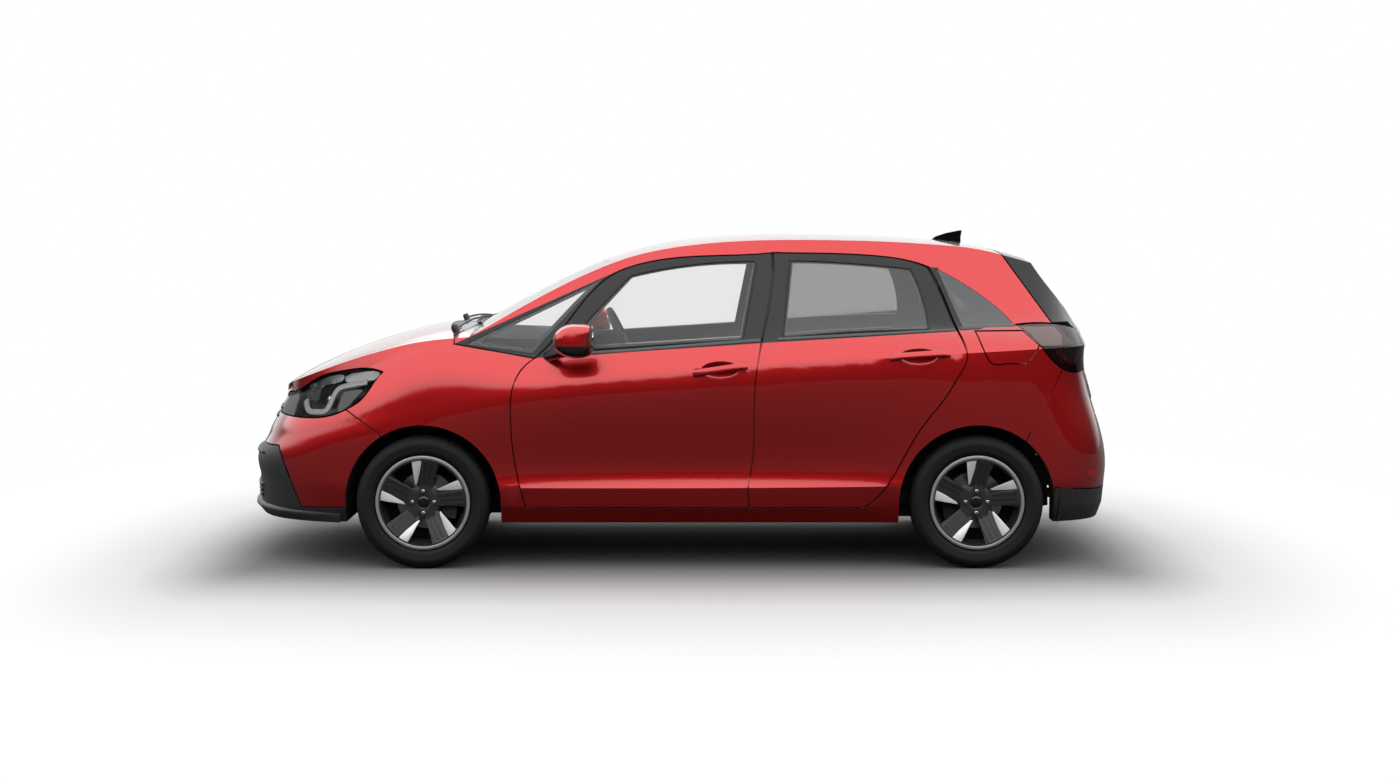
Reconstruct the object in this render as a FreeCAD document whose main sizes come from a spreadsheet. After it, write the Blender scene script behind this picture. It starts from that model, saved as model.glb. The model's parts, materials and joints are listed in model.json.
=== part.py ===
import FreeCAD, Part
import math
import os
import Sketcher

from FreeCAD import Placement, Rotation, Vector

# Five-door hatchback car, nose towards -X, left side towards -Y, standing on the floor at z 0.
# Lengths are millimetres. A side-view place is written (station, height share): a station
# runs from -1 at the nose tip over 0 at the front axle and 1 at the rear axle to 2 at the
# tail, and a height share is a share of the roof's height. A width share is a share of the
# body's half width.

SIZES = {
    # Whole car
    "wheelbase": 2530.0,
    "front_overhang": 870.0,
    "rear_overhang": 680.0,
    "half_width": 847.5,
    "roof_height": 1523.0,
    # Body walls and joins
    "skin_thickness": 6.0,
    "door_thickness": 105.0,
    "door_step": 50.0,
    "door_rebate": 45.0,
    "sash_wall": 44.0,
    "sash_step": 22.0,
    "roof_wall": 34.0,
    "bonnet_skin": 8.0,
    "bonnet_thickness": 26.0,
    "bonnet_hem": 22.0,
    "floor_thickness": 46.0,
    "pane_flange": 16.0,
    "lamp_depth": 70.0,
    "shut_gap": 6.5,
    "inner_gap": 12.0,
    "pane_gap": 1.5,
    "joint_gap": 0.5,
    "overrun": 60.0,
    "stop_radius": 8.0,
    "stop_length": 40.0,
    "lid_thickness": 10.0,
    "lid_pocket": 60.0,
    "jack_pad_length": 60.0,
    "jack_pad_width": 44.0,
    "jack_pad_height": 8.0,
    # Wheels
    "tyre_radius": 305.0,
    "tyre_width": 185.0,
    "bead_radius": 203.3,
    "rim_radius": 203.0,
    "rim_drop": 14.0,
    "rim_lip_radius": 216.0,
    "rim_width": 165.0,
    "rim_wall": 9.0,
    "front_track": 1480.0,
    "rear_track": 1470.0,
    "bolt_circle": 100.0,
    "bolt_hole": 13.0,
    "bolt_count": 4.0,
    "facet_count": 52.0,
    "spoke_count": 5.0,
    "spoke_thickness": 20.0,
    "wheel_offset": 8.0,
    "hub_bore": 56.0,
    "cap_thickness": 6.0,
    "bearing_gap": 0.05,
    "disc_radius": 131.0,
    "disc_thickness": 20.0,
    "disc_inset": 22.0,
    "hat_wall": 8.0,
    "arch_radius": 357.0,
    "front_well_width": 395.0,
    "rear_well_width": 270.0,
    "well_wall": 30.0,
    # Suspension and steering
    "kingpin_foot_in": 80.0,
    "kingpin_foot_z": 190.0,
    "kingpin_top_in": 180.0,
    "kingpin_top_z": 800.0,
    "carrier_radius": 45.0,
    "carrier_width": 40.0,
    "strut_radius": 26.0,
    "strut_foot_in": 135.0,
    "strut_foot_up": 125.0,
    "strut_cap": 28.0,
    "spring_radius": 56.0,
    "tower_radius": 100.0,
    "tower_depth": 340.0,
    "caliper_bite": 50.0,
    "caliper_depth": 70.0,
    "caliper_width": 74.0,
    "caliper_height": 130.0,
    "caliper_tilt": 8.0,
    "subframe_length": 240.0,
    "subframe_half": 440.0,
    "subframe_height": 56.0,
    "arm_width": 56.0,
    "arm_in": 127.0,
    "arm_radius": 24.0,
    "bush_radius": 32.0,
    "beam_ahead": 212.0,
    "beam_radius": 42.0,
    "spring_in": 90.0,
    "shaft_radius": 13.0,
    "engine_height": 620.0,
    "pipe_radius": 25.0,
    "pipe_aside": 60.0,
    "silencer_radius": 82.0,
    "silencer_length": 420.0,
    "hanger": 12.0,
    # Cabin
    "seat_base_height": 74.0,
    "steering_radius": 185.0,
    "steering_rim": 15.0,
    "steering_lean": -65.0,
    "column_length": 480.0,
    # Fittings outside
    "mirror_depth": 92.0,
    "mirror_half_width": 92.0,
    "mirror_half_height": 78.0,
    "mirror_foot": 24.0,
    "fin_half_width": 20.0,
    "handle_length": 250.0,
    "handle_radius": 15.0,
    "handle_standoff": 16.0,
    "handle_recess": 88.0,
    "recess_depth": 26.0,
}

doc = FreeCAD.newDocument("hatchback_car")
sheet = doc.addObject("Spreadsheet::Sheet", "Sizes")


class Named:
    """Holds the sheet's sizes by name."""


size = Named()


def enter_sizes():
    """Writes every driving dimension into the sheet, one aliased cell each."""
    for row, (name, value) in enumerate(SIZES.items(), 1):
        sheet.set("A%d" % row, name)
        sheet.set("B%d" % row, repr(value))
        sheet.setAlias("B%d" % row, name)
        setattr(size, name, value)
    doc.recompute()


enter_sizes()

length = size.wheelbase + size.front_overhang + size.rear_overhang
nose_x = -length / 2
front_axle_x = nose_x + size.front_overhang
rear_axle_x = front_axle_x + size.wheelbase
tail_x = length / 2


# Places and outlines

def along(station):
    """X of a station: -1 nose tip, 0 front axle, 1 rear axle, 2 tail."""
    if station < 0:
        return front_axle_x + station * size.front_overhang
    if station > 1:
        return rear_axle_x + (station - 1) * size.rear_overhang
    return front_axle_x + station * size.wheelbase


def up(height_share):
    return height_share * size.roof_height


def side_points(shares):
    return [(along(station), up(height)) for station, height in shares]


def curve_at(points, x):
    """Height at x of a smooth line through the points, with level ends."""
    if x <= points[0][0]:
        return points[0][1]
    if x >= points[-1][0]:
        return points[-1][1]
    slopes = [(b[1] - a[1]) / (b[0] - a[0]) for a, b in zip(points, points[1:])]
    for index, (a, b) in enumerate(zip(points, points[1:])):
        if x <= b[0]:
            break
    before = slopes[max(index - 1, 0)]
    after = slopes[min(index + 1, len(slopes) - 1)]
    here = slopes[index]
    start = (before + here) / 2
    end = (here + after) / 2
    run = b[0] - a[0]
    t = (x - a[0]) / run
    return (a[1] * (1 + 2 * t) * (1 - t) ** 2 + start * run * t * (1 - t) ** 2
            + b[1] * t * t * (3 - 2 * t) + end * run * t * t * (t - 1))


def grown(points, gap):
    """The closed outline moved outwards by the gap, or inwards where it is negative."""
    area = sum(a[0] * b[1] - b[0] * a[1] for a, b in zip(points, points[1:] + points[:1]))
    turn = 1 if area > 0 else -1
    moved = []
    for before, here, after in zip(points[-1:] + points[:-1], points, points[1:] + points[:1]):
        in_run = math.hypot(here[0] - before[0], here[1] - before[1])
        out_run = math.hypot(after[0] - here[0], after[1] - here[1])
        in_normal = ((here[1] - before[1]) / in_run, (before[0] - here[0]) / in_run)
        out_normal = ((after[1] - here[1]) / out_run, (here[0] - after[0]) / out_run)
        bend = 1 + in_normal[0] * out_normal[0] + in_normal[1] * out_normal[1]
        moved.append((here[0] + turn * gap * (in_normal[0] + out_normal[0]) / bend,
                      here[1] + turn * gap * (in_normal[1] + out_normal[1]) / bend))
    return moved


def outline_wire(points, corners, place):
    """A closed wire: smooth through the points, sharp at the numbered corners."""
    spots = [place(*point) for point in points]
    edges = []
    for first, last in zip(corners, corners[1:] + [corners[0] + len(points)]):
        run = [spots[index % len(spots)] for index in range(first, last + 1)]
        if len(run) == 2:
            edges.append(Part.LineSegment(run[0], run[1]).toShape())
        else:
            curve = Part.BSplineCurve()
            curve.interpolate(run)
            edges.append(curve.toShape())
    return Part.Wire(edges)


def side_prism(points, corners, near, far):
    """The side-view outline as a solid from y = near to y = far."""
    wire = outline_wire(points, corners, lambda x, z: Vector(x, near, z))
    return Part.Face(wire).extrude(Vector(0, far - near, 0))


def plan_prism(points, corners, bottom, top):
    wire = outline_wire(points, corners, lambda x, y: Vector(x, y, bottom))
    return Part.Face(wire).extrude(Vector(0, 0, top - bottom))


def box(low, high):
    spans = [b - a for a, b in zip(low, high)]
    return Part.makeBox(spans[0], spans[1], spans[2], Vector(*low))


def mirrored(shape):
    """The same shape on the other side of the car."""
    return shape.mirror(Vector(0, 0, 0), Vector(0, 1, 0))


def pair(shape):
    return Part.makeCompound([shape, mirrored(shape)])


def moved(shape, step):
    copy = shape.copy()
    copy.translate(step)
    return copy


def eased(shares, eases):
    """The outline with some of its points moved towards the nose, as {index: station share}."""
    return [(station - eases.get(index, 0), height) for index, (station, height) in enumerate(shares)]


# Side wrap: rings run round the car from the nose's middle to the tail's middle.
# Each ring has its height line, its half width line and its two tips.

nose_plan_shares = [(0.0, 0.0), (0.018, 0.30), (0.075, 0.56), (0.18, 0.76), (0.36, 0.895), (0.66, 0.972)]
tail_plan_shares = [(0.66, 0.980), (0.36, 0.925), (0.17, 0.81), (0.065, 0.60), (0.014, 0.30), (0.0, 0.0)]
side_stations = [0.0, 0.17, 0.33, 0.5, 0.67, 0.84, 1.0]

# (nose tip station, tail tip station, width shares at the nose half, middle and tail half,
#  height line)
RINGS_SHARES = {
    "floor": (-0.962, 1.955, 0.935, 0.930, 0.935,
              [(-1.0, 0.138), (2.0, 0.138)]),
    "skirt": (-0.985, 1.985, 0.965, 0.972, 0.965,
              [(-1.0, 0.165), (-0.4, 0.175), (0.2, 0.185), (0.8, 0.185), (1.4, 0.180), (2.0, 0.178)]),
    "crease": (-0.990, 2.0, 0.990, 0.988, 0.990,
               [(-1.0, 0.262), (-0.4, 0.252), (0.2, 0.246), (0.8, 0.250), (1.4, 0.262), (2.0, 0.262)]),
    "waist": (-1.0, 1.965, 0.992, 0.972, 0.992,
              [(-1.0, 0.318), (-0.4, 0.325), (0.2, 0.335), (0.8, 0.350), (1.4, 0.385), (2.0, 0.400)]),
    "flank": (-0.965, 1.868, 0.995, 0.995, 0.995,
              [(-1.0, 0.350), (-0.4, 0.385), (0.2, 0.440), (0.8, 0.480), (1.4, 0.520), (2.0, 0.535)]),
    "line": (-0.925, 1.845, 0.985, 0.993, 0.985,
             [(-1.0, 0.392), (-0.4, 0.441), (0.0, 0.505), (0.2, 0.553), (0.5, 0.594), (0.8, 0.631),
              (1.2, 0.656), (1.6, 0.664), (2.0, 0.664)]),
    "shoulder": (-0.885, 1.828, 0.952, 0.962, 0.935,
                 [(-1.0, 0.425), (-0.4, 0.505), (0.0, 0.600), (0.2, 0.600), (0.5, 0.640), (0.8, 0.674),
                  (1.2, 0.692), (1.6, 0.690), (2.0, 0.680)]),
    "belt": (-0.840, 1.800, 0.880, 0.912, 0.860,
             [(-1.0, 0.455), (-0.4, 0.575), (0.0, 0.668), (0.2, 0.644), (0.5, 0.680), (0.8, 0.711),
              (1.2, 0.724), (1.6, 0.722), (2.0, 0.705)]),
    "glass": (-0.780, 1.700, 0.770, 0.800, 0.735,
              [(-1.0, 0.800), (2.0, 0.830)]),
    "top": (-0.700, 1.600, 0.560, 0.610, 0.560,
            [(-1.0, 1.070), (2.0, 1.070)]),
}


class Ring:
    """One ring of the side wrap, moved inwards by an inset."""

    def __init__(self, name, inset, lift=0.0):
        nose, tail, front, middle, rear, heights = RINGS_SHARES[name]
        nose_tip = along(nose) + inset
        tail_tip = along(tail) - inset
        self.points = []
        line = side_points(heights)
        for run, width in nose_plan_shares:
            x = nose_tip + run * (front_axle_x - nose_tip)
            self.points.append(self.spot(x, width, front * size.half_width - inset, line, lift))
        for station in side_stations:
            blend = abs(2 * station - 1) ** 2
            ends = front if station < 0.5 else rear
            share = ends * blend + middle * (1 - blend)
            x = along(station)
            self.points.append(self.spot(x, 1, share * size.half_width - inset, line, lift))
        for run, width in tail_plan_shares:
            x = tail_tip - run * (tail_tip - rear_axle_x)
            self.points.append(self.spot(x, width, rear * size.half_width - inset, line, lift))

    @staticmethod
    def spot(x, width, half, line, lift):
        return Vector(x, -width * half, curve_at(line, x) + lift)


def ring_curve(points, knots):
    """A smooth curve through a ring's points that crosses the car's middle square to it."""
    reach = sum(a.distanceToPoint(b) for a, b in zip(points, points[1:]))
    curve = Part.BSplineCurve()
    curve.interpolate(Points=points, Parameters=knots, InitialTangent=Vector(0, -reach, 0),
                      FinalTangent=Vector(0, reach, 0), Scale=False)
    return curve


def band(curves):
    """A face through two, three or four rings, joined edge to edge with its neighbours."""
    rows = [curve.getPoles() for curve in curves]
    if len(rows) == 3:
        rows = [rows[0],
                [(b * 4 - a - c) * 0.5 for a, b, c in zip(*rows)],
                rows[2]]
    if len(rows) == 4:
        rows = [rows[0],
                [(b * 18 - a * 5 - c * 9 + d * 2) * (1 / 6) for a, b, c, d in zip(*rows)],
                [(a * 2 - b * 9 + c * 18 - d * 5) * (1 / 6) for a, b, c, d in zip(*rows)],
                rows[3]]
    surface = Part.BSplineSurface()
    degree = len(rows) - 1
    surface.buildFromPolesMultsKnots(
        rows, [degree + 1, degree + 1], curves[0].getMultiplicities(),
        [0, 1], curves[0].getKnots(), False, False, degree, 3)
    return surface.toShape()


def wrap_solid(insets, bands):
    """The closed side wrap, both sides of the car, from its lowest to its highest ring."""
    rings = {name: Ring(name, inset).points for name, inset in insets.items()}
    middle = list(rings.values())[len(rings) // 2]
    knots = [0.0]
    for a, b in zip(middle, middle[1:]):
        knots.append(knots[-1] + a.distanceToPoint(b))
    knots = [knot / knots[-1] for knot in knots]
    curves = {name: ring_curve(points, knots) for name, points in rings.items()}
    faces = [band([curves[name] for name in names]) for names in bands]
    faces += [mirrored(face) for face in faces]
    for name in (bands[0][0], bands[-1][-1]):
        edge = curves[name].toShape()
        faces.append(Part.Face(Part.Wire([edge, mirrored(edge)])))
    shell = Part.Shell(faces)
    shell.sewShape()
    solid = Part.Solid(shell)
    if solid.Volume < 0:
        solid.reverse()
    return solid


OUTER_BANDS = [
    ("floor", "skirt"),
    ("skirt", "crease"),
    ("crease", "waist", "flank", "line"),
    ("line", "shoulder", "belt"),
    ("belt", "glass", "top"),
]


# Top skins: a height line along the car, crowned across it

def skin_face(heights, crown, lowered, half_span):
    """A crowned skin whose middle line is given, lowered by a wall."""
    line = [Vector(x, 0, z - lowered) for x, z in heights]
    edge_drop = Vector(0, 0, crown)
    reach = Vector(0, half_span, 0)
    middle = Part.BSplineCurve()
    middle.interpolate(line)
    poles = middle.getPoles()
    rows = [[pole - reach - edge_drop for pole in poles],
            [pole + edge_drop for pole in poles],
            [pole + reach - edge_drop for pole in poles]]
    surface = Part.BSplineSurface()
    surface.buildFromPolesMultsKnots(rows, [3, 3], middle.getMultiplicities(),
                                     [0, 1], middle.getKnots(), False, False, 2, middle.Degree)
    return surface.toShape()


def under(face):
    return face.extrude(Vector(0, 0, -2 * size.roof_height))


def over(face):
    return face.extrude(Vector(0, 0, size.roof_height))


BONNET_SHARES = [(-1.05, 0.330), (-0.90, 0.470), (-0.845, 0.515), (-0.76, 0.555), (-0.592, 0.605),
                 (-0.408, 0.648), (-0.224, 0.682), (-0.055, 0.707), (0.05, 0.722), (0.16, 0.732)]
BONNET_CROWN_SHARE = 0.060
ROOF_SHARES = [(-0.10, 0.590), (0.0, 0.652), (0.074, 0.716), (0.16, 0.792), (0.266, 0.882), (0.33, 0.927),
               (0.373, 0.951), (0.462, 0.981), (0.621, 1.000), (0.726, 1.0), (0.833, 0.995),
               (0.939, 0.984), (1.069, 0.968), (1.25, 0.948), (1.5, 0.915), (2.05, 0.830)]
HATCH_SHARES = [(1.10, 1.140), (1.18, 1.085), (1.33, 0.975), (1.45, 0.890), (1.58, 0.817), (1.70, 0.752),
                (1.80, 0.692), (1.90, 0.600), (2.05, 0.450)]
ROOF_CROWN_SHARE = 0.062
HATCH_CROWN_SHARE = 0.030
SKIN_REACH_SHARES = (1.2, 1.3, 1.4)


def roof_skin(drop):
    """The windscreen's and roof's surface."""
    return skin_face(side_points(ROOF_SHARES), ROOF_CROWN_SHARE * size.roof_height, drop,
                     SKIN_REACH_SHARES[1] * size.half_width)


def hatch_skin(drop):
    """The rear window's sloping surface."""
    return skin_face(side_points(HATCH_SHARES), HATCH_CROWN_SHARE * size.roof_height, drop,
                     SKIN_REACH_SHARES[2] * size.half_width)


def body_volume(low_inset, high_inset, roof_drop, front=True):
    """The body's outer form, or the space inside walls of the given thickness."""
    insets = {name: high_inset if name in ("glass", "top") else low_inset for name in RINGS_SHARES}
    wrap = wrap_solid(insets, OUTER_BANDS)
    high = wrap.common(under(roof_skin(roof_drop))).cut(over(hatch_skin(roof_drop)))
    if not front:
        return high
    return wrap.common(under_bonnet(roof_drop)).fuse(high)


def under_bonnet(drop):
    return under(skin_face(side_points(BONNET_SHARES), BONNET_CROWN_SHARE * size.roof_height, drop,
                           SKIN_REACH_SHARES[0] * size.half_width))


outer = body_volume(0, 0, 0)
lining = body_volume(size.skin_thickness, size.skin_thickness, size.skin_thickness)
core_inset = size.skin_thickness + size.joint_gap
core = body_volume(core_inset, core_inset, core_inset)
parting = body_volume(size.door_step, size.sash_step, size.sash_step, front=False)
rebate = body_volume(size.door_step + size.shut_gap, size.sash_step + size.shut_gap,
                     size.sash_step + size.shut_gap, front=False)
cabin_form = body_volume(size.door_thickness, size.sash_wall, size.roof_wall, front=False)

# Outlines in the side view

seam_shares = [(0.587, 0.252), (0.593, 0.310), (0.597, 0.475), (0.603, 0.614), (0.612, 0.684)]
FRONT_DOOR_SHARES = ([(0.590, 0.186), (0.186, 0.186), (0.172, 0.277), (0.163, 0.368), (0.160, 0.458),
                      (0.164, 0.548), (0.176, 0.592), (0.202, 0.632), (0.270, 0.760), (0.343, 0.882),
                      (0.394, 0.913), (0.485, 0.934), (0.634, 0.946)] + seam_shares[::-1])
FRONT_DOOR_CORNERS = [0, 1, 7, 12]
REAR_DOOR_SHARES = ([(0.590, 0.186)] + seam_shares
                    + [(0.634, 0.946), (0.745, 0.943), (0.822, 0.936), (0.875, 0.924), (0.919, 0.902),
                       (0.945, 0.810), (0.965, 0.720), (0.977, 0.667), (0.979, 0.638), (0.967, 0.591),
                       (0.940, 0.518), (0.897, 0.425), (0.858, 0.310), (0.829, 0.236), (0.795, 0.186)])
REAR_DOOR_CORNERS = [0, 6, 10, 20]
FRONT_SASH_EASE_SHARES = {12: 0.0020, 13: 0.0012}
REAR_SASH_EASE_SHARES = {10: 0.0040, 11: 0.0034, 12: 0.0024, 13: 0.0012}
FRONT_PANE_SHARES = [(0.247, 0.652), (0.300, 0.752), (0.372, 0.879), (0.461, 0.908), (0.605, 0.922),
                     (0.578, 0.686), (0.410, 0.668)]
FRONT_PANE_CORNERS = [0, 2, 4, 5]
REAR_PANE_SHARES = [(0.648, 0.694), (0.664, 0.924), (0.770, 0.918), (0.886, 0.898), (0.907, 0.810),
                    (0.915, 0.716), (0.780, 0.708)]
REAR_PANE_CORNERS = [0, 1, 3, 5]
CORNER_PANE_SHARES = [(0.078, 0.674), (0.190, 0.762), (0.322, 0.868), (0.260, 0.762), (0.198, 0.648)]
CORNER_PANE_CORNERS = [0, 2, 4]
QUARTER_PANE_SHARES = [(0.934, 0.896), (0.971, 0.862), (1.062, 0.812), (1.209, 0.755), (1.262, 0.726),
                       (0.976, 0.722), (0.957, 0.800)]
QUARTER_PANE_CORNERS = [0, 4, 5]
LAMP_SHARES = [(-1.06, 0.462), (-1.06, 0.508), (-0.845, 0.510), (-0.698, 0.525), (-0.572, 0.568),
               (-0.414, 0.593), (-0.298, 0.600), (-0.210, 0.590), (-0.266, 0.551), (-0.317, 0.511),
               (-0.392, 0.482), (-0.479, 0.461), (-0.643, 0.450), (-0.845, 0.455)]
LAMP_CORNERS = [0, 1, 7]
TAIL_LAMP_SHARES = [(1.268, 0.730), (1.572, 0.730), (1.900, 0.680), (1.900, 0.600), (1.719, 0.589),
                    (1.584, 0.598), (1.421, 0.668)]
TAIL_LAMP_CORNERS = [0, 2, 3, 4]


def across(points, corners):
    """The side-view outline as a solid right through the car."""
    reach = size.half_width + size.overrun
    return side_prism(points, corners, -reach, reach)


def outline(shares, gap=0.0):
    return grown(side_points(shares), gap)


def wells(radius, front_width, rear_width):
    """The four wheel wells as round drums, open at the body's sides."""
    drums = []
    for x, track, width in ((front_axle_x, size.front_track, front_width),
                            (rear_axle_x, size.rear_track, rear_width)):
        reach = size.half_width + size.overrun
        drum = Part.makeCylinder(radius, width, Vector(x, -reach, size.tyre_radius), Vector(0, 1, 0))
        drum = drum.fuse(box((x - radius, -reach, -size.overrun),
                             (x + radius, width - reach, size.tyre_radius)))
        drums += [drum, mirrored(drum)]
    return Part.makeCompound(drums)


# Plan outlines, as (station, width share) for one side; the other side mirrors them

BONNET_PLAN_SHARES = [(-1.100, 0.36), (-0.840, 0.44), (-0.724, 0.54), (-0.609, 0.65), (-0.379, 0.755),
                      (-0.210, 0.795), (0.000, 0.805), (0.056, 0.800)]
BONNET_BACK_SHARES = [(0.036, 0.45), (0.028, 0.0)]
SCREEN_PLAN_SHARES = [(0.046, 0.0), (0.054, 0.45), (0.080, 0.790), (0.107, 0.775), (0.202, 0.722),
                      (0.300, 0.664), (0.338, 0.640)]
SCREEN_TOP_SHARES = [(0.322, 0.35), (0.318, 0.0)]
ROOF_PLAN_SHARES = [(0.325, 0.0), (0.329, 0.35), (0.345, 0.640), (0.500, 0.640), (0.750, 0.625),
                    (1.000, 0.590), (1.130, 0.570)]
ROOF_BACK_SHARES = [(1.130, 0.0)]
HATCH_PANE_SHARES = [(1.420, 0.0), (1.425, 0.38), (1.440, 0.590), (1.600, 0.620), (1.745, 0.630)]
HATCH_PANE_LOW_SHARES = [(1.775, 0.40), (1.790, 0.0)]


def plan_cut(half, middle, near_corners, grow, low_share, high_share):
    """The plan outline, mirrored about the middle line, as an upright solid."""
    near = [(along(station), -width * size.half_width) for station, width in half + middle]
    far = [(x, -y) for x, y in reversed(near) if y < 0]
    last = 2 * len(near) - 2
    corners = sorted({corner for near_corner in near_corners
                      for corner in (near_corner, last - near_corner) if corner < len(near + far)})
    return plan_prism(grown(near + far, grow), corners, up(low_share), up(high_share))


FENDER_SHARES = [(-0.218, 0.408), (-0.218, 0.186), (0.186, 0.186), (0.172, 0.277), (0.163, 0.368),
                 (0.160, 0.458), (0.164, 0.548), (0.176, 0.592), (0.202, 0.632), (0.056, 0.674),
                 (0.056, 0.850), (-0.750, 0.850), (-0.750, 0.500), (-0.400, 0.477)]
FENDER_CORNERS = [0, 1, 2, 8, 9, 10, 11, 12, 13]
BUMPER_SHARES = [(-1.100, 0.050), (-0.218, 0.050), (-0.218, 0.408), (-0.400, 0.477), (-0.750, 0.500),
                 (-0.750, 0.560), (-1.100, 0.560)]
GARNISH_SHARES = [(-1.100, 0.050), (-0.300, 0.050), (-0.418, 0.184), (-0.655, 0.180), (-0.787, 0.362),
                  (-0.924, 0.356), (-1.100, 0.356)]
REAR_BUMPER_SHARES = [(1.250, 0.050), (2.100, 0.050), (2.100, 0.597), (1.571, 0.597), (1.334, 0.396),
                      (1.250, 0.300)]
VALANCE_SHARES = [(1.400, 0.050), (2.100, 0.050), (2.100, 0.240), (1.850, 0.232), (1.530, 0.245),
                  (1.440, 0.150)]
TAILGATE_SHARES = [(1.145, 1.100), (1.145, 0.975), (1.187, 0.949), (1.525, 0.735), (1.525, 0.453),
                   (2.100, 0.453), (2.100, 1.100)]
FUEL_LID_SHARES = [(0.996, 0.713), (1.307, 0.714), (1.410, 0.6725), (1.368, 0.640), (1.329, 0.622),
                   (1.200, 0.6185), (1.085, 0.6195), (1.050, 0.640)]
FUEL_LID_CORNERS = [0, 1, 2]
COWL_SHARES = (0.020, 0.110, 0.800)
GRILLE_HALF_WIDTH_SHARE = 0.50
GRILLE_LOW_SHARE = 0.437
GRILLE_TOP_SHARE = 0.506
TAILGATE_HALF_WIDTH_SHARE = 0.66
FRAME_NOSE_STATION_SHARE = -0.72
FRAME_TAIL_STATION_SHARE = 1.66
CABIN_FRONT_SHARE = 0.066
CABIN_STEPS_SHARES = [(0.62, 0.880, 0.245), (0.850, 2.0, 0.400)]
BOOT_UNDER_SHARES = (0.895, 1.66, 0.370)
BAY_SHARES = (-0.70, 0.030)
TAIL_SPACE_SHARE = 0.462
RAIL_SHARE = 0.55
HEADER_SHARE = 0.75
ENGINE_SHARES = (-0.38, 0.016, 0.35, 0.45)
PIPE_SHARES = (0.15, 1.10)
DASH_SHARES = [(0.068, 0.460), (0.170, 0.440), (0.215, 0.500), (0.205, 0.590), (0.232, 0.640), (0.200,
                                                                                                0.684),
               (0.068, 0.690)]
DASH_HALF_SHARE = 0.745
SEAT_SPAN_SHARES = (0.155, 0.715)
CUSHION_SHARES = [(0.330, 0.222), (0.552, 0.222), (0.560, 0.330), (0.400, 0.352), (0.336, 0.340)]
BACK_SHARES = [(0.556, 0.225), (0.590, 0.235), (0.640, 0.640), (0.640, 0.690), (0.618, 0.700), (0.585,
                                                                                                0.600),
               (0.545, 0.345)]
HEADREST_SHARES = [(0.622, 0.716), (0.648, 0.714), (0.652, 0.800), (0.640, 0.826), (0.618, 0.800)]
HEADREST_SPAN_SHARES = (0.29, 0.58)
DOOR_STOPS_SHARES = {"front": (2, 15), "rear": (4, 13)}
BONNET_STOP_SHARES = (-0.36, 0.60)
GATE_STOP_SHARES = (0.06, 0.45)
LID_STOP_SHARES = (1.26, 0.655)
JACK_SHARES = [(0.2174, 0.826), (0.7708, 0.826)]
SPRING_SPAN_SHARES = (0.42, 0.86)
ARM_SHARES = (0.80, 0.70, 0.60)
RIM_TURNS = (0, 45, 90, 135, 180, 225, 270, 315, 360)
REAR_SPRING_SHARE = 0.8
REAR_CUSHION_SHARES = [(0.685, 0.2453), (0.872, 0.2453), (0.876, 0.330), (0.700, 0.365), (0.680, 0.350)]
REAR_BACK_SHARES = [(0.878, 0.4003), (0.905, 0.4003), (0.958, 0.690), (0.940, 0.704), (0.915, 0.640),
                    (0.872, 0.410)]
REAR_SEAT_HALF_SHARE = 0.72
STEERING_PLACE_SHARES = (0.362, 0.437, 0.655)
MIRROR_SHARES = (0.275, 1.095, 0.690)
MIRROR_FOOT_SHARES = (0.225, 0.900, 0.636)
MIRROR_OUTLINE_SHARES = [(-1.00, -0.05), (-0.82, 0.55), (-0.35, 0.92), (0.40, 1.00), (0.92, 0.86),
                         (1.00, 0.15),
                         (0.93, -0.72), (0.35, -1.00), (-0.42, -0.88), (-0.88, -0.50)]
MIRROR_RING_SHARES = [(1.00, 0.62), (0.93, 0.80), (0.74, 0.93), (0.40, 0.99), (0.00, 1.00), (-0.45, 0.97),
                      (-0.78, 0.85), (-0.95, 0.68), (-1.00, 0.52)]
HANDLE_PLACES_SHARES = {"front": (0.536, 0.600), "rear": (0.892, 0.641)}
FIN_SHARES = [(0.937, 0.970), (0.955, 0.992), (0.975, 1.003), (1.000, 1.0112), (1.020, 1.0118), (1.012,
                                                                                                 0.990),
              (1.012, 0.950), (0.937, 0.950)]

everywhere = size.half_width + size.overrun
gap = size.shut_gap
seam = size.shut_gap / 2


def every_corner(points):
    return list(range(len(points)))


def slab(from_station, to_station, half_span, low_share, high_share):
    """A box between two stations and two heights, the same width either side."""
    return box((along(from_station), -half_span, up(low_share)),
               (along(to_station), half_span, up(high_share)))


def without(shape, *tools):
    for tool in tools:
        shape = shape.cut(tool)
    return shape


front_door_cut = across(outline(FRONT_DOOR_SHARES, seam), FRONT_DOOR_CORNERS)
rear_door_cut = across(outline(REAR_DOOR_SHARES, seam), REAR_DOOR_CORNERS)
front_door_form = across(outline(eased(FRONT_DOOR_SHARES, FRONT_SASH_EASE_SHARES), -seam),
                         FRONT_DOOR_CORNERS)
rear_door_form = across(outline(eased(REAR_DOOR_SHARES, REAR_SASH_EASE_SHARES), -seam), REAR_DOOR_CORNERS)
front_door_inner = across(outline(FRONT_DOOR_SHARES, -size.door_rebate), FRONT_DOOR_CORNERS)
rear_door_inner = across(outline(REAR_DOOR_SHARES, -size.door_rebate), REAR_DOOR_CORNERS)
inner_grow = size.inner_gap - size.door_rebate
front_door_hole = across(outline(FRONT_DOOR_SHARES, inner_grow), FRONT_DOOR_CORNERS)
rear_door_hole = across(outline(REAR_DOOR_SHARES, inner_grow), REAR_DOOR_CORNERS)
lamp_cut = across(outline(LAMP_SHARES, seam), LAMP_CORNERS)
lamp_form = across(outline(LAMP_SHARES, -seam), LAMP_CORNERS)
tail_lamp_cut = across(outline(TAIL_LAMP_SHARES, seam), TAIL_LAMP_CORNERS)
tail_lamp_form = across(outline(TAIL_LAMP_SHARES, -seam), TAIL_LAMP_CORNERS)
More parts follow.
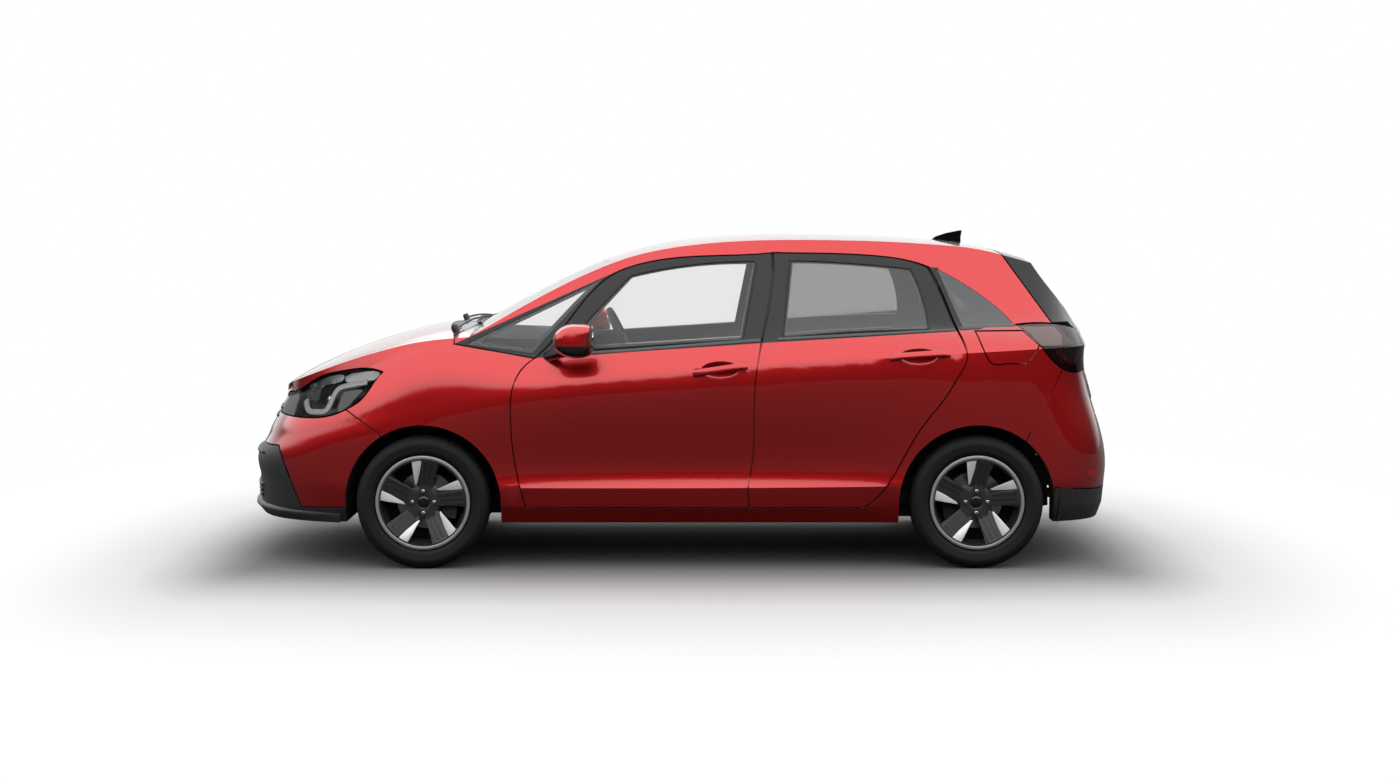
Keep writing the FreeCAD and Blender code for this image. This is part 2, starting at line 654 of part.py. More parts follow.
nose_core = box((nose_x - size.overrun, -GRILLE_HALF_WIDTH_SHARE * size.half_width, 0),
                (front_axle_x, GRILLE_HALF_WIDTH_SHARE * size.half_width, size.roof_height))
lamp_cut = lamp_cut.cut(nose_core)
lamp_form = lamp_form.cut(nose_core)
lamp_split = TAILGATE_HALF_WIDTH_SHARE * size.half_width + seam
tail_core = box((rear_axle_x, -lamp_split, 0), (tail_x + size.overrun, lamp_split, size.roof_height))
well_space = wells(size.arch_radius, size.front_well_width + size.overrun,
                   size.rear_well_width + size.overrun)
well_walls = wells(size.arch_radius + size.well_wall,
                   size.front_well_width + size.overrun + size.well_wall,
                   size.rear_well_width + size.overrun + size.well_wall)


def tailgate_region(grow):
    whole = across(outline(TAILGATE_SHARES, grow), every_corner(TAILGATE_SHARES))
    half = TAILGATE_HALF_WIDTH_SHARE * size.half_width + grow
    lamp_top = up(TAIL_LAMP_SHARES[0][1]) + seam
    sides = box((rear_axle_x, half, 0), (tail_x + size.overrun, everywhere + size.overrun,
                                         lamp_top + seam - grow))
    return whole.cut(sides).cut(mirrored(sides))


floor_z = up(RINGS_SHARES["floor"][5][0][1])
cabin = slab(CABIN_FRONT_SHARE, 0.64, everywhere, 0, 1.1)
cabin = box((along(CABIN_FRONT_SHARE), -everywhere, floor_z + size.floor_thickness),
            (along(CABIN_STEPS_SHARES[0][0]), everywhere, 1.1 * size.roof_height))
for start, end, height in CABIN_STEPS_SHARES:
    cabin = cabin.fuse(box((along(start), -everywhere, up(height)),
                           (along(end), everywhere, 1.1 * size.roof_height)))
cabin = cabin.common(cabin_form).cut(well_walls)
bay_half = size.half_width - size.front_well_width - size.well_wall
bay = box((along(BAY_SHARES[0]), -bay_half, -size.overrun),
          (along(BAY_SHARES[1]), bay_half, size.roof_height))
bay = bay.common(under_bonnet(size.bonnet_thickness + size.shut_gap))
boot_under = slab(BOOT_UNDER_SHARES[0], BOOT_UNDER_SHARES[1],
                  size.half_width - size.rear_well_width + size.overrun, -0.1, BOOT_UNDER_SHARES[2])


def bonnet_region(grow):
    return plan_cut(BONNET_PLAN_SHARES, BONNET_BACK_SHARES, [0, 7], grow, GRILLE_TOP_SHARE, 1.0)


def screen_region(grow):
    return plan_cut(SCREEN_PLAN_SHARES, SCREEN_TOP_SHARES, [2, 6], grow, 0.60, 1.1)


def roof_region(grow):
    return plan_cut(ROOF_PLAN_SHARES, ROOF_BACK_SHARES, [2, 6], grow, 0.90, 1.1)


def hatch_pane_region(grow):
    return plan_cut(HATCH_PANE_SHARES, HATCH_PANE_LOW_SHARES, [2, 4], grow, 0.60, 1.1)


# Panels

def kept(shape):
    """The shape's solids, without shavings."""
    shaving = size.skin_thickness * size.overrun ** 2
    solids = [solid for solid in shape.Solids if solid.Volume > shaving]
    return Part.makeCompound(solids) if len(solids) > 1 else solids[0]


def largest(shape):
    return max(shape.Solids, key=lambda solid: solid.Volume)


def sided(shape, sign):
    return kept(Part.makeCompound([solid for solid in shape.Solids
                                   if solid.CenterOfMass.y * sign > 0]))


pieces = {}
far_z = size.roof_height + size.overrun


def skin_in(region):
    """The outer sheet within a region."""
    return outer.common(region).cut(lining.common(region))


def shaped(shares, corners=None, grow=0.0):
    """The side-view outline's solid right through the car."""
    points = outline(shares, grow)
    return across(points, corners or every_corner(points))


bonnet_zone = bonnet_region(seam)
bonnet_top = outer.common(bonnet_region(-seam)).cut(under_bonnet(size.bonnet_skin))
bonnet_frame = outer.common(bonnet_region(-seam - size.bonnet_hem)).common(under_bonnet(size.bonnet_skin))
pieces["bonnet"] = kept(bonnet_top.fuse(bonnet_frame.cut(under_bonnet(size.bonnet_thickness))))

grille_half = GRILLE_HALF_WIDTH_SHARE * size.half_width


def grille_region(grow, low_grow):
    return box((nose_x - size.overrun, -grille_half - grow, up(GRILLE_LOW_SHARE) - low_grow),
               (front_axle_x, grille_half + grow, up(GRILLE_TOP_SHARE) + grow))


garnish_zone = shaped(GARNISH_SHARES, grow=seam)
pieces["front_bumper"] = kept(without(skin_in(shaped(BUMPER_SHARES, grow=-seam)), lamp_cut,
                                      garnish_zone, bonnet_zone, grille_region(seam, seam), well_space))
upper_grille = skin_in(grille_region(-seam, seam - size.joint_gap)).cut(bonnet_zone)
lower_grille = skin_in(shaped(GARNISH_SHARES, grow=-seam)).cut(well_space)
pieces["front_grilles"] = kept(Part.makeCompound([kept(upper_grille), kept(lower_grille)]))

corner_pane_zone = shaped(CORNER_PANE_SHARES, CORNER_PANE_CORNERS, size.pane_gap)
quarter_zone = shaped(QUARTER_PANE_SHARES, QUARTER_PANE_CORNERS, size.pane_gap)
screen_zone = screen_region(size.pane_gap)
roof_zone = roof_region(size.pane_gap)
gate_zone = tailgate_region(seam)
tail_zone = tail_lamp_cut.cut(tail_core)
cowl_box = box((along(COWL_SHARES[0]), -COWL_SHARES[2] * size.half_width, 0),
               (along(COWL_SHARES[1]), COWL_SHARES[2] * size.half_width, far_z))
fender_sheet = without(skin_in(shaped(FENDER_SHARES, FENDER_CORNERS, -seam)), lamp_cut, bonnet_zone,
                       corner_pane_zone, screen_zone)
pieces["cowl"] = kept(fender_sheet.common(cowl_box))
left_fender = sided(without(fender_sheet, cowl_box, well_space), -1)
pieces["fenders"] = pair(left_fender)

lamp_back = body_volume(size.lamp_depth, size.lamp_depth, size.lamp_depth)
lamp_seat = body_volume(size.lamp_depth + size.joint_gap, size.lamp_depth + size.joint_gap,
                        size.lamp_depth + size.joint_gap)
pieces["headlamps"] = kept(without(outer.common(lamp_form), lamp_back, bonnet_zone, well_walls))
pieces["tail_lamps"] = kept(outer.common(tail_lamp_form.cut(tail_core)).cut(lamp_back))


def door(form, inner, pane_shares, pane_corners):
    """A side door: full size outside, smaller inside, with its window's opening and pane."""
    leaf = outer.common(form).cut(parting).fuse(parting.common(inner).cut(cabin_form))
    seat = outer.common(shaped(pane_shares, pane_corners, size.pane_gap)).cut(core)
    leaf = without(leaf, seat, shaped(pane_shares, pane_corners, -size.pane_flange), well_walls)
    return kept(leaf), kept(skin_in(shaped(pane_shares, pane_corners)))


front_doors, front_panes = door(front_door_form, front_door_inner, FRONT_PANE_SHARES,
                                FRONT_PANE_CORNERS)
rear_doors, rear_panes = door(rear_door_form, rear_door_inner, REAR_PANE_SHARES,
                              REAR_PANE_CORNERS)
for side, sign in (("left", -1), ("right", 1)):
    pieces["front_%s_door" % side] = sided(front_doors, sign)
    pieces["front_%s_door_glass" % side] = sided(front_panes, sign)
    pieces["rear_%s_door" % side] = sided(rear_doors, sign)
    pieces["rear_%s_door_glass" % side] = sided(rear_panes, sign)

corner_panes = skin_in(shaped(CORNER_PANE_SHARES, CORNER_PANE_CORNERS))
quarter_panes = skin_in(shaped(QUARTER_PANE_SHARES, QUARTER_PANE_CORNERS)).cut(gate_zone)
pieces["fixed_side_glass"] = kept(Part.makeCompound([kept(corner_panes), kept(quarter_panes)]))
pieces["windscreen"] = largest(skin_in(screen_region(0)))
pieces["roof_panel"] = largest(skin_in(roof_region(0)))

hatch_pane_seat = hatch_pane_region(size.pane_gap)
hatch_drop = size.roof_wall + size.overrun
hatch_hole = hatch_pane_region(-size.pane_flange).common(over(hatch_skin(hatch_drop)))
screen_hole = screen_region(-size.pane_flange).common(over(roof_skin(hatch_drop)))
gate = outer.common(tailgate_region(-seam)).cut(cabin_form)
gate = without(gate, outer.common(hatch_pane_seat).cut(core), hatch_hole, tail_zone)
pieces["tailgate"] = kept(gate)
pieces["tailgate_glass"] = largest(skin_in(hatch_pane_region(0)))

valance_zone = shaped(VALANCE_SHARES, grow=seam)
pieces["rear_bumper"] = kept(without(skin_in(shaped(REAR_BUMPER_SHARES, grow=-seam)), gate_zone,
                                     tail_zone, valance_zone, well_space))
pieces["rear_valance"] = kept(skin_in(shaped(VALANCE_SHARES, grow=-seam)).cut(well_space))

front_ends = shaped(FENDER_SHARES, FENDER_CORNERS, seam).fuse(shaped(BUMPER_SHARES, grow=seam))
rear_end = shaped(REAR_BUMPER_SHARES, grow=seam)
side_form = without(outer, front_ends, rear_end, front_door_cut, rear_door_cut, gate_zone, tail_zone,
                    bonnet_zone, corner_pane_zone, quarter_zone, screen_zone, roof_zone, lamp_cut,
                    well_space)
underside = box((nose_x, -everywhere, -size.overrun),
                (tail_x, everywhere, floor_z + size.skin_thickness + size.joint_gap))
side_sheets = kept(without(side_form, lining, bay, boot_under))
left_half = box((rear_axle_x - size.arch_radius, -everywhere, 0), (tail_x, 0, size.roof_height))
lid_zone = shaped(FUEL_LID_SHARES, FUEL_LID_CORNERS, seam).common(left_half)


def outer_layer(region, depth):
    """The body's outer layer within a region on the left side, a depth measured across the car."""
    block = outer.common(region)
    return block.cut(moved(block, Vector(0, depth, 0)))


pieces["fuel_lid"] = kept(outer_layer(shaped(FUEL_LID_SHARES, FUEL_LID_CORNERS, -seam).common(left_half),
                                      size.lid_thickness))
pieces["body_sides"] = kept(side_sheets.cut(lid_zone))

# Inner structure: everything between the outer sheet and the spaces inside

kingpin_foot = Vector(front_axle_x, size.kingpin_foot_in - size.front_track / 2, size.kingpin_foot_z)
kingpin_top = Vector(front_axle_x, size.kingpin_top_in - size.front_track / 2, size.kingpin_top_z)
kingpin = (kingpin_top - kingpin_foot).normalize()
strut_tower = Part.makeCylinder(size.tower_radius, size.tower_depth,
                                kingpin_top - kingpin * (size.tower_depth - size.joint_gap), kingpin)

doorways = without(front_door_cut.fuse(rear_door_cut), rebate)
frame = without(core, cabin, bay, boot_under, well_space, doorways, front_door_hole, rear_door_hole)
frame = without(frame, shaped(CORNER_PANE_SHARES, CORNER_PANE_CORNERS, -size.pane_flange),
                shaped(QUARTER_PANE_SHARES, QUARTER_PANE_CORNERS, -size.pane_flange),
                screen_hole, gate_zone,
                bonnet_zone.cut(under_bonnet(size.bonnet_thickness + size.shut_gap)),
                lamp_cut.cut(lamp_seat), tail_zone.cut(lamp_seat))
frame = without(frame,
                box((nose_x - size.overrun, -everywhere, -size.overrun),
                    (along(FRAME_NOSE_STATION_SHARE), everywhere, size.roof_height)),
                box((along(FRAME_TAIL_STATION_SHARE), -everywhere, -size.overrun),
                    (tail_x + size.overrun, everywhere, up(TAIL_SPACE_SHARE))))
lid_pocket = outer_layer(lid_zone, size.lid_pocket)
shaft_bores = pair(Part.makeCylinder(size.shaft_radius + size.inner_gap, size.front_well_width,
                                     Vector(front_axle_x, -size.half_width + size.overrun, size.tyre_radius),
                                     Vector(0, 1, 0)))
frame = without(frame, pair(strut_tower), shaft_bores)
half_joint = size.joint_gap / 2
bulkhead_x = along(CABIN_FRONT_SHARE)
sill_z = up(FRONT_DOOR_SHARES[0][1])
rail_y = RAIL_SHARE * size.half_width
header_z = up(HEADER_SHARE)
rear = (bulkhead_x + half_joint, tail_x + size.overrun)
middle_low = box((rear[0], -rail_y + half_joint, sill_z - half_joint),
                 (rear[1], rail_y - half_joint, header_z))
pieces["front_structure"] = kept(frame.common(
    box((nose_x, -everywhere, 0), (bulkhead_x - half_joint, everywhere, far_z))))
pieces["floor_pan"] = kept(frame.common(
    box((rear[0], -everywhere, 0), (rear_axle_x - half_joint, everywhere,
                                    sill_z - half_joint)).fuse(middle_low)))
pieces["roof_frame"] = kept(frame.common(
    box((rear[0], -rail_y + half_joint, header_z + half_joint),
        (rear[1], rail_y - half_joint, far_z))))
side_box = box((rear[0], rail_y + half_joint, sill_z + half_joint), (rear[1], everywhere, far_z))
rear_box = box((rear_axle_x + half_joint, rail_y + half_joint, 0), (rear[1], everywhere, far_z))
side_frames = frame.common(side_box.fuse(rear_box))
jack_pads = []
for station, across in JACK_SHARES:
    x = along(station)
    y = across * size.half_width
    pad = box((x - size.jack_pad_length / 2, y - size.jack_pad_width / 2, floor_z - size.jack_pad_height),
              (x + size.jack_pad_length / 2, y + size.jack_pad_width / 2,
               floor_z + size.floor_thickness / 2))
    jack_pads += [pad, mirrored(pad)]
pieces["floor_pan"] = kept(pieces["floor_pan"].fuse(jack_pads))

# Rubber stops that the doors, the bonnet, the tailgate and the fuel lid rest on


def stop_pin(foot, direction, volume, depth):
    """A round stop that ends at the volume's near side and reaches the depth into it."""
    pin = Part.makeCylinder(size.stop_radius, size.half_width, foot, direction).common(volume)
    return pin.cut(moved(pin, direction * depth))


inwards = Vector(0, 1, 0)
downwards = Vector(0, 0, -1)
stops = []
door_seat = moved(parting, inwards * size.joint_gap)
for door_shares, picks in ((FRONT_DOOR_SHARES, DOOR_STOPS_SHARES["front"]),
                           (REAR_DOOR_SHARES, DOOR_STOPS_SHARES["rear"])):
    flange = outline(door_shares, -size.door_rebate / 3)
    for index in picks:
        x, z = flange[index]
        stops.append(stop_pin(Vector(x, -size.half_width, z), inwards, door_seat, size.stop_length))
lid_seat = moved(outer, inwards * (size.lid_thickness + size.joint_gap))
lid_stop = stop_pin(Vector(along(LID_STOP_SHARES[0]), -size.half_width, up(LID_STOP_SHARES[1])), inwards,
                    lid_seat, size.lid_pocket)
bonnet_stop = stop_pin(Vector(along(BONNET_STOP_SHARES[0]), BONNET_STOP_SHARES[1] * size.half_width,
                              size.roof_height), downwards,
                       under_bonnet(size.bonnet_thickness + size.joint_gap), size.stop_length)
gate_top = Vector(along(TAILGATE_SHARES[2][0]), GATE_STOP_SHARES[1] * size.half_width,
                  up(TAILGATE_SHARES[2][1]))
gate_foot = Vector(along(TAILGATE_SHARES[3][0]), gate_top.y, up(TAILGATE_SHARES[3][1]))
gate_edge = gate_foot - gate_top
gate_normal = Vector(-gate_edge.z, 0, gate_edge.x).normalize()
gate_face = gate_top + gate_edge * GATE_STOP_SHARES[0] + gate_normal * (seam - size.joint_gap)
gate_stop = Part.makeCylinder(size.stop_radius, size.stop_length, gate_face, gate_normal * -1)
pieces["front_structure"] = pieces["front_structure"].fuse([bonnet_stop, mirrored(bonnet_stop)])
pieces["roof_frame"] = pieces["roof_frame"].fuse([gate_stop, mirrored(gate_stop)])
pieces["right_side_frame"] = kept(side_frames.fuse([mirrored(stop) for stop in stops]))
pieces["left_side_frame"] = kept(mirrored(side_frames).cut(lid_pocket).fuse(stops + [lid_stop]))


# Wheels, drawn as sketches and revolved


def origin_feature(body, role):
    return next(item for item in body.Origin.OriginFeatures if item.Role == role)


def new_body(label):
    body = doc.addObject("PartDesign::Body", label)
    body.Label = label
    return body


def new_sketch(body, name, role):
    sketch = body.newObject("Sketcher::SketchObject", name)
    sketch.AttachmentSupport = (origin_feature(body, role), "")
    sketch.MapMode = "FlatFace"
    return sketch


def draw_polygon(sketch, corners):
    """A closed polygon whose corners are pairs of sheet formulas."""
    first = sketch.GeometryCount
    count = len(corners)
    for index in range(count):
        angle = 2 * math.pi * index / count
        after = 2 * math.pi * (index + 1) / count
        sketch.addGeometry(Part.LineSegment(
            Vector(size.tyre_radius * math.cos(angle), size.tyre_radius * math.sin(angle), 0),
            Vector(size.tyre_radius * math.cos(after), size.tyre_radius * math.sin(after), 0)), False)
    for index in range(count):
        sketch.addConstraint(Sketcher.Constraint(
            "Coincident", first + index, 2, first + (index + 1) % count, 1))
    for index, formulas in enumerate(corners):
        for kind, formula in zip(("DistanceX", "DistanceY"), formulas):
            number = sketch.addConstraint(Sketcher.Constraint(
                kind, -1, 1, first + index, 1, size.tyre_radius))
            sketch.setExpression("Constraints[%d]" % number, formula)
    return sketch


def draw_circle(sketch, across_formula, height_formula, radius_formula):
    number = sketch.addGeometry(Part.Circle(Vector(size.hub_bore, size.hub_bore, 0),
                                            Vector(0, 0, 1), size.hub_bore), False)
    for kind, formula in (("DistanceX", across_formula), ("DistanceY", height_formula)):
        place = sketch.addConstraint(Sketcher.Constraint(kind, -1, 1, number, 3, size.hub_bore))
        sketch.setExpression("Constraints[%d]" % place, formula)
    place = sketch.addConstraint(Sketcher.Constraint("Radius", number, size.hub_bore))
    sketch.setExpression("Constraints[%d]" % place, radius_formula)


def revolved(body, name, corners):
    """A ring about the wheel's axle from a section of (radius, width) formulas."""
    sketch = draw_polygon(new_sketch(body, name + "Section", "XY_Plane"), corners)
    ring = body.newObject("PartDesign::Revolution", name)
    ring.Profile = sketch
    ring.ReferenceAxis = (sketch, ["V_Axis"])
    ring.Angle = 360
    return ring


def cut_through(body, name, sketch):
    pocket = body.newObject("PartDesign::Pocket", name)
    pocket.Profile = sketch
    pocket.Type = 1
    pocket.Midplane = True
    return pocket


def repeated(body, name, features, count_formula):
    pattern = body.newObject("PartDesign::PolarPattern", name)
    pattern.Originals = features
    pattern.Axis = (origin_feature(body, "Y_Axis"), [""])
    pattern.Angle = 360
    pattern.setExpression("Occurrences", count_formula)
    body.Tip = pattern
    return pattern


def section(shares, low, high, width):
    """Formulas of section corners from (height share, half-width share) between two radii."""
    return [("Sizes.%s + %s * (Sizes.%s - Sizes.%s)" % (low, repr(up_share), high, low),
             "Sizes.%s * %s" % (width, repr(side_share))) for up_share, side_share in shares]


TYRE_OUTSIDE_SHARES = [(0.00, 0.370), (0.15, 0.388), (0.42, 0.498), (0.80, 0.480), (1.00, 0.320)]
TYRE_INSIDE_SHARES = [(0.00, 0.290), (0.78, 0.400)]


def make_tyre():
    """The carcass as a ring of flat facets, so that four of them stay light."""
    count = int(size.facet_count)
    bead = size.bead_radius / math.cos(math.pi / count)
    height = size.tyre_radius - bead
    corners = [(bead + up_share * height, side_share * size.tyre_width)
               for up_share, side_share in TYRE_OUTSIDE_SHARES
               + [(h, -w) for h, w in reversed(TYRE_OUTSIDE_SHARES)]
               + [(h, -w) for h, w in TYRE_INSIDE_SHARES] + list(reversed(TYRE_INSIDE_SHARES))]
    rings = []
    for index in range(count):
        angle = 2 * math.pi * index / count
        rings.append([Vector(r * math.cos(angle), y, r * math.sin(angle)) for r, y in corners])
    facets = []
    for index, ring in enumerate(rings):
        after = rings[(index + 1) % count]
        for number in range(len(corners)):
            other = (number + 1) % len(corners)
            facets.append(Part.Face(Part.makePolygon(
                [ring[number], ring[other], after[other], after[number], ring[number]])))
    return Part.Solid(Part.Shell(facets))


WINDOW_SHARES = [(0.34, 37.0), (0.97, 30.0), (0.97, 68.0), (0.34, 56.0)]


def make_wheel():
    """A cast wheel: barrel with flanges, dished face with windows, hub with its bolt holes."""
    body = new_body("wheel_master")
    half = "Sizes.rim_width / 2"
    wall = "Sizes.rim_wall"
    seat = "Sizes.rim_radius"
    lip = "Sizes.rim_lip_radius"
    drop = "(Sizes.rim_radius - Sizes.rim_drop)"
    revolved(body, "Barrel", [
        (lip, "-" + half), (lip, "-%s + %s" % (half, wall)), (seat, "-%s + %s" % (half, wall)),
        (seat, "-%s * 0.45" % half), (drop, "-%s * 0.25" % half), (drop, "%s * 0.15" % half),
        (seat, "%s * 0.4" % half), (seat, "%s - %s" % (half, wall)),
        (lip, "%s - %s" % (half, wall)), (lip, half), (seat + " - " + wall, half),
        (seat + " - " + wall, "%s * 0.4" % half), (drop + " - " + wall, "%s * 0.15" % half),
        (drop + " - " + wall, "-%s * 0.25" % half), (seat + " - " + wall, "-%s * 0.6" % half),
        (seat + " - " + wall, "-" + half)])
    revolved(body, "Face", [
        ("0 mm", "-%s * 0.50" % half), ("Sizes.bolt_circle * 0.75", "-%s * 0.56" % half),
        (seat + " - %s / 2" % wall, "-%s * 0.93" % half),
        (seat + " - %s / 2" % wall, "-%s * 0.93 + Sizes.spoke_thickness" % half),
        ("Sizes.bolt_circle * 0.78", "-%s * 0.50 + Sizes.spoke_thickness" % half),
        ("Sizes.bolt_circle * 0.72", "Sizes.wheel_offset"), ("Sizes.hub_bore / 2", "Sizes.wheel_offset"),
        ("Sizes.hub_bore / 2", "-%s * 0.50 + Sizes.cap_thickness" % half),
        ("0 mm", "-%s * 0.50 + Sizes.cap_thickness" % half)])
    sketch = new_sketch(body, "WindowOutline", "XZ_Plane")
    draw_polygon(sketch, [
        ("(Sizes.rim_radius - Sizes.rim_wall) * %s * cos(%s deg)" % (repr(r), repr(a)),
         "(Sizes.rim_radius - Sizes.rim_wall) * %s * sin(%s deg)" % (repr(r), repr(a)))
        for r, a in WINDOW_SHARES])
    window = cut_through(body, "Window", sketch)
    repeated(body, "Windows", [window], "Sizes.spoke_count")
    sketch = new_sketch(body, "BoltHoleOutline", "XZ_Plane")
    draw_circle(sketch, "Sizes.bolt_circle / 2", "0 mm", "Sizes.bolt_hole / 2")
    hole = cut_through(body, "BoltHole", sketch)
    repeated(body, "BoltHoles", [hole], "Sizes.bolt_count")
    return body


def make_disc():
    """A brake disc with its hat, seated on the wheel's mounting face."""
    body = new_body("disc_master")
    start = "Sizes.wheel_offset"
    revolved(body, "Disc", [
        ("Sizes.hub_bore / 2", start), ("Sizes.bolt_circle * 0.72", start),
        ("Sizes.bolt_circle * 0.72", start + " + Sizes.disc_inset"),
        ("Sizes.disc_radius", start + " + Sizes.disc_inset"),
        ("Sizes.disc_radius", start + " + Sizes.disc_inset + Sizes.disc_thickness"),
        ("Sizes.bolt_circle * 0.66", start + " + Sizes.disc_inset + Sizes.disc_thickness"),
        ("Sizes.bolt_circle * 0.66", start + " + Sizes.hat_wall"),
        ("Sizes.hub_bore / 2", start + " + Sizes.hat_wall")])
    return body


tyre = make_tyre()
wheel = make_wheel()
disc = make_disc()
doc.recompute()


def place_wheel(label, master, x, y, right):
    """A copy of a wheel part at its axle's end, turned round on the right side."""
    turn = Rotation(Vector(0, 0, 1), 180 if right else 0)
    shape = master.copy()
    shape.Placement = Placement(Vector(x, y, size.tyre_radius), turn)
    pieces[label] = shape


for end, x, track in (("front", front_axle_x, size.front_track),
                      ("rear", rear_axle_x, size.rear_track)):
    for side, sign in (("left", -1), ("right", 1)):
        for kind, master in (("tyre", tyre), ("wheel", wheel.Shape), ("disc", disc.Shape)):
            place_wheel("%s_%s_%s" % (end, side, kind), master, x, sign * track / 2, sign > 0)


def rod(start, end, radius):
    along_rod = end - start
    return Part.makeCylinder(radius, along_rod.Length, start, along_rod)


def slab_between(start, end, thickness, height):
    """A flat bar from one point to another, its flat sides upright."""
    run = end - start
    bar = Part.makeBox(run.Length, thickness, height,
                       Vector(0, -thickness / 2, -height / 2))
    bar.Placement = Placement(start, Rotation(Vector(1, 0, 0), run))
    return bar


axle_z = size.tyre_radius
front_y = -size.front_track / 2
rear_y = -size.rear_track / 2
disc_back = size.wheel_offset + size.disc_inset + size.disc_thickness
disc_middle = disc_back - size.disc_thickness / 2


def hub(x, y, length):
    """A wheel's carrier with the spindle that the wheel and its disc turn on."""
    carrier = Part.makeCylinder(size.carrier_radius, length, Vector(x, y + disc_back + size.shut_gap,
                                                                    axle_z),
                                Vector(0, 1, 0))
    spindle = Part.makeCylinder(size.hub_bore / 2 - size.bearing_gap, disc_back + size.shut_gap,
                                Vector(x, y, axle_z), Vector(0, 1, 0))
    return carrier.fuse(spindle)


def caliper(x, y, turn):
    """A brake caliper round the disc's edge, with the bar that joins it to the carrier."""
    low = size.disc_radius - size.caliper_bite
    block = Part.makeBox(size.caliper_depth, size.caliper_width, size.caliper_height,
                         Vector(low, disc_middle - size.caliper_width / 2, -size.caliper_height / 2))
    slot_width = size.disc_thickness + size.inner_gap
    slot = Part.makeCylinder(size.disc_radius + size.shut_gap, slot_width,
                             Vector(0, disc_middle - slot_width / 2, 0), Vector(0, 1, 0))
    back = disc_back + size.shut_gap
    bridge = Part.makeBox(low + size.caliper_depth / 2, disc_middle + size.caliper_width / 2 - back,
                          size.caliper_height / 2, Vector(0, back, -size.caliper_height / 4))
    block = block.cut(slot).fuse(bridge)
    block.Placement = Placement(Vector(x, y, axle_z), Rotation(Vector(0, 1, 0), turn))
    return block


# Front: knuckle with its strut, spring, lower ball joint and caliper

strut_foot = Vector(front_axle_x, front_y + size.strut_foot_in, axle_z + size.strut_foot_up)
strut_line = kingpin_top - strut_foot
strut_direction = Vector(strut_line).normalize()
strut = rod(strut_foot - strut_direction * size.strut_radius, kingpin_top - kingpin * size.strut_cap / 2,
            size.strut_radius)
strut_cap = rod(kingpin_top - kingpin * size.strut_cap, kingpin_top, size.spring_radius)
spring = rod(strut_foot + strut_line * SPRING_SPAN_SHARES[0],
             strut_foot + strut_line * SPRING_SPAN_SHARES[1],
             size.spring_radius)
carrier_middle = Vector(front_axle_x, front_y + disc_back + size.shut_gap + size.carrier_width / 2, axle_z)
arm_up = rod(carrier_middle, strut_foot, size.strut_radius * ARM_SHARES[0])
arm_down = rod(carrier_middle, kingpin_foot + kingpin * size.strut_radius, size.strut_radius * ARM_SHARES[1])
ball_stud = rod(kingpin_foot, kingpin_foot + kingpin * size.strut_radius * 1.5,
                size.strut_radius * ARM_SHARES[2])
knuckle = hub(front_axle_x, front_y, size.carrier_width).fuse(
    [strut, strut_cap, spring, arm_up, arm_down, ball_stud,
     caliper(front_axle_x, front_y, size.caliper_tilt)])
pieces["left_knuckle"] = knuckle
pieces["right_knuckle"] = mirrored(knuckle)

# Front subframe with its lower arms, each under its ball joint

subframe = box((front_axle_x - size.subframe_length / 2, -size.subframe_half,
                floor_z - size.joint_gap - size.subframe_height),
               (front_axle_x + size.subframe_length / 2, size.subframe_half, floor_z - size.joint_gap))
ball_seat = kingpin_foot - kingpin * (size.joint_gap + size.arm_radius / 2)
arm_root = Vector(front_axle_x, -size.subframe_half + size.arm_radius,
                  floor_z - size.joint_gap - size.subframe_height / 2)
lower_arm = slab_between(ball_seat, arm_root, size.arm_width, size.arm_radius)
ball_cap = rod(kingpin_foot - kingpin * (size.joint_gap + size.arm_radius),
               kingpin_foot - kingpin * size.joint_gap,
               size.arm_radius * ARM_SHARES[0])
lower_arm = lower_arm.fuse(ball_cap).cut(
    rod(kingpin_foot - kingpin * size.joint_gap, kingpin_foot + kingpin * size.arm_width, size.arm_width))
pieces["front_subframe"] = subframe.fuse([lower_arm, mirrored(lower_arm)])

# Rear beam with its arms, bushes, springs and calipers

bush_x = rear_axle_x - size.arch_radius + size.bush_radius + size.joint_gap
arm_y = rear_y + size.arm_in
bush_width = size.arm_radius * 2
bush = Part.makeCylinder(size.bush_radius, bush_width, Vector(bush_x, arm_y - bush_width / 2, axle_z),
                         Vector(0, 1, 0))
arm = rod(Vector(bush_x, arm_y, axle_z), Vector(rear_axle_x, arm_y, axle_z), size.arm_radius)
beam_x = rear_axle_x - size.beam_ahead
half_beam = rod(Vector(beam_x, arm_y, axle_z), Vector(beam_x, 0, axle_z), size.beam_radius)
spring_x = rear_axle_x - size.beam_ahead / 2
spring_y = arm_y + size.spring_in
pan = rod(Vector(spring_x, spring_y, axle_z - size.arm_radius), Vector(spring_x, spring_y, axle_z),
          size.spring_radius)
rear_spring = rod(Vector(spring_x, spring_y, axle_z),
                  Vector(spring_x, spring_y, up(BOOT_UNDER_SHARES[2]) - size.joint_gap),
                  size.spring_radius * REAR_SPRING_SHARE)
pan_bar = slab_between(Vector(spring_x, arm_y, axle_z - size.arm_radius / 2),
                       Vector(spring_x, spring_y, axle_z - size.arm_radius / 2),
                       size.spring_radius, size.arm_radius)
half_axle = hub(rear_axle_x, rear_y, size.arm_in - disc_back - size.shut_gap).fuse(
    [arm, bush, half_beam, pan, rear_spring, pan_bar, caliper(rear_axle_x, rear_y, 180 - size.caliper_tilt)])
pieces["rear_axle_beam"] = half_axle.fuse(mirrored(half_axle))


# Engine, drive shafts and exhaust

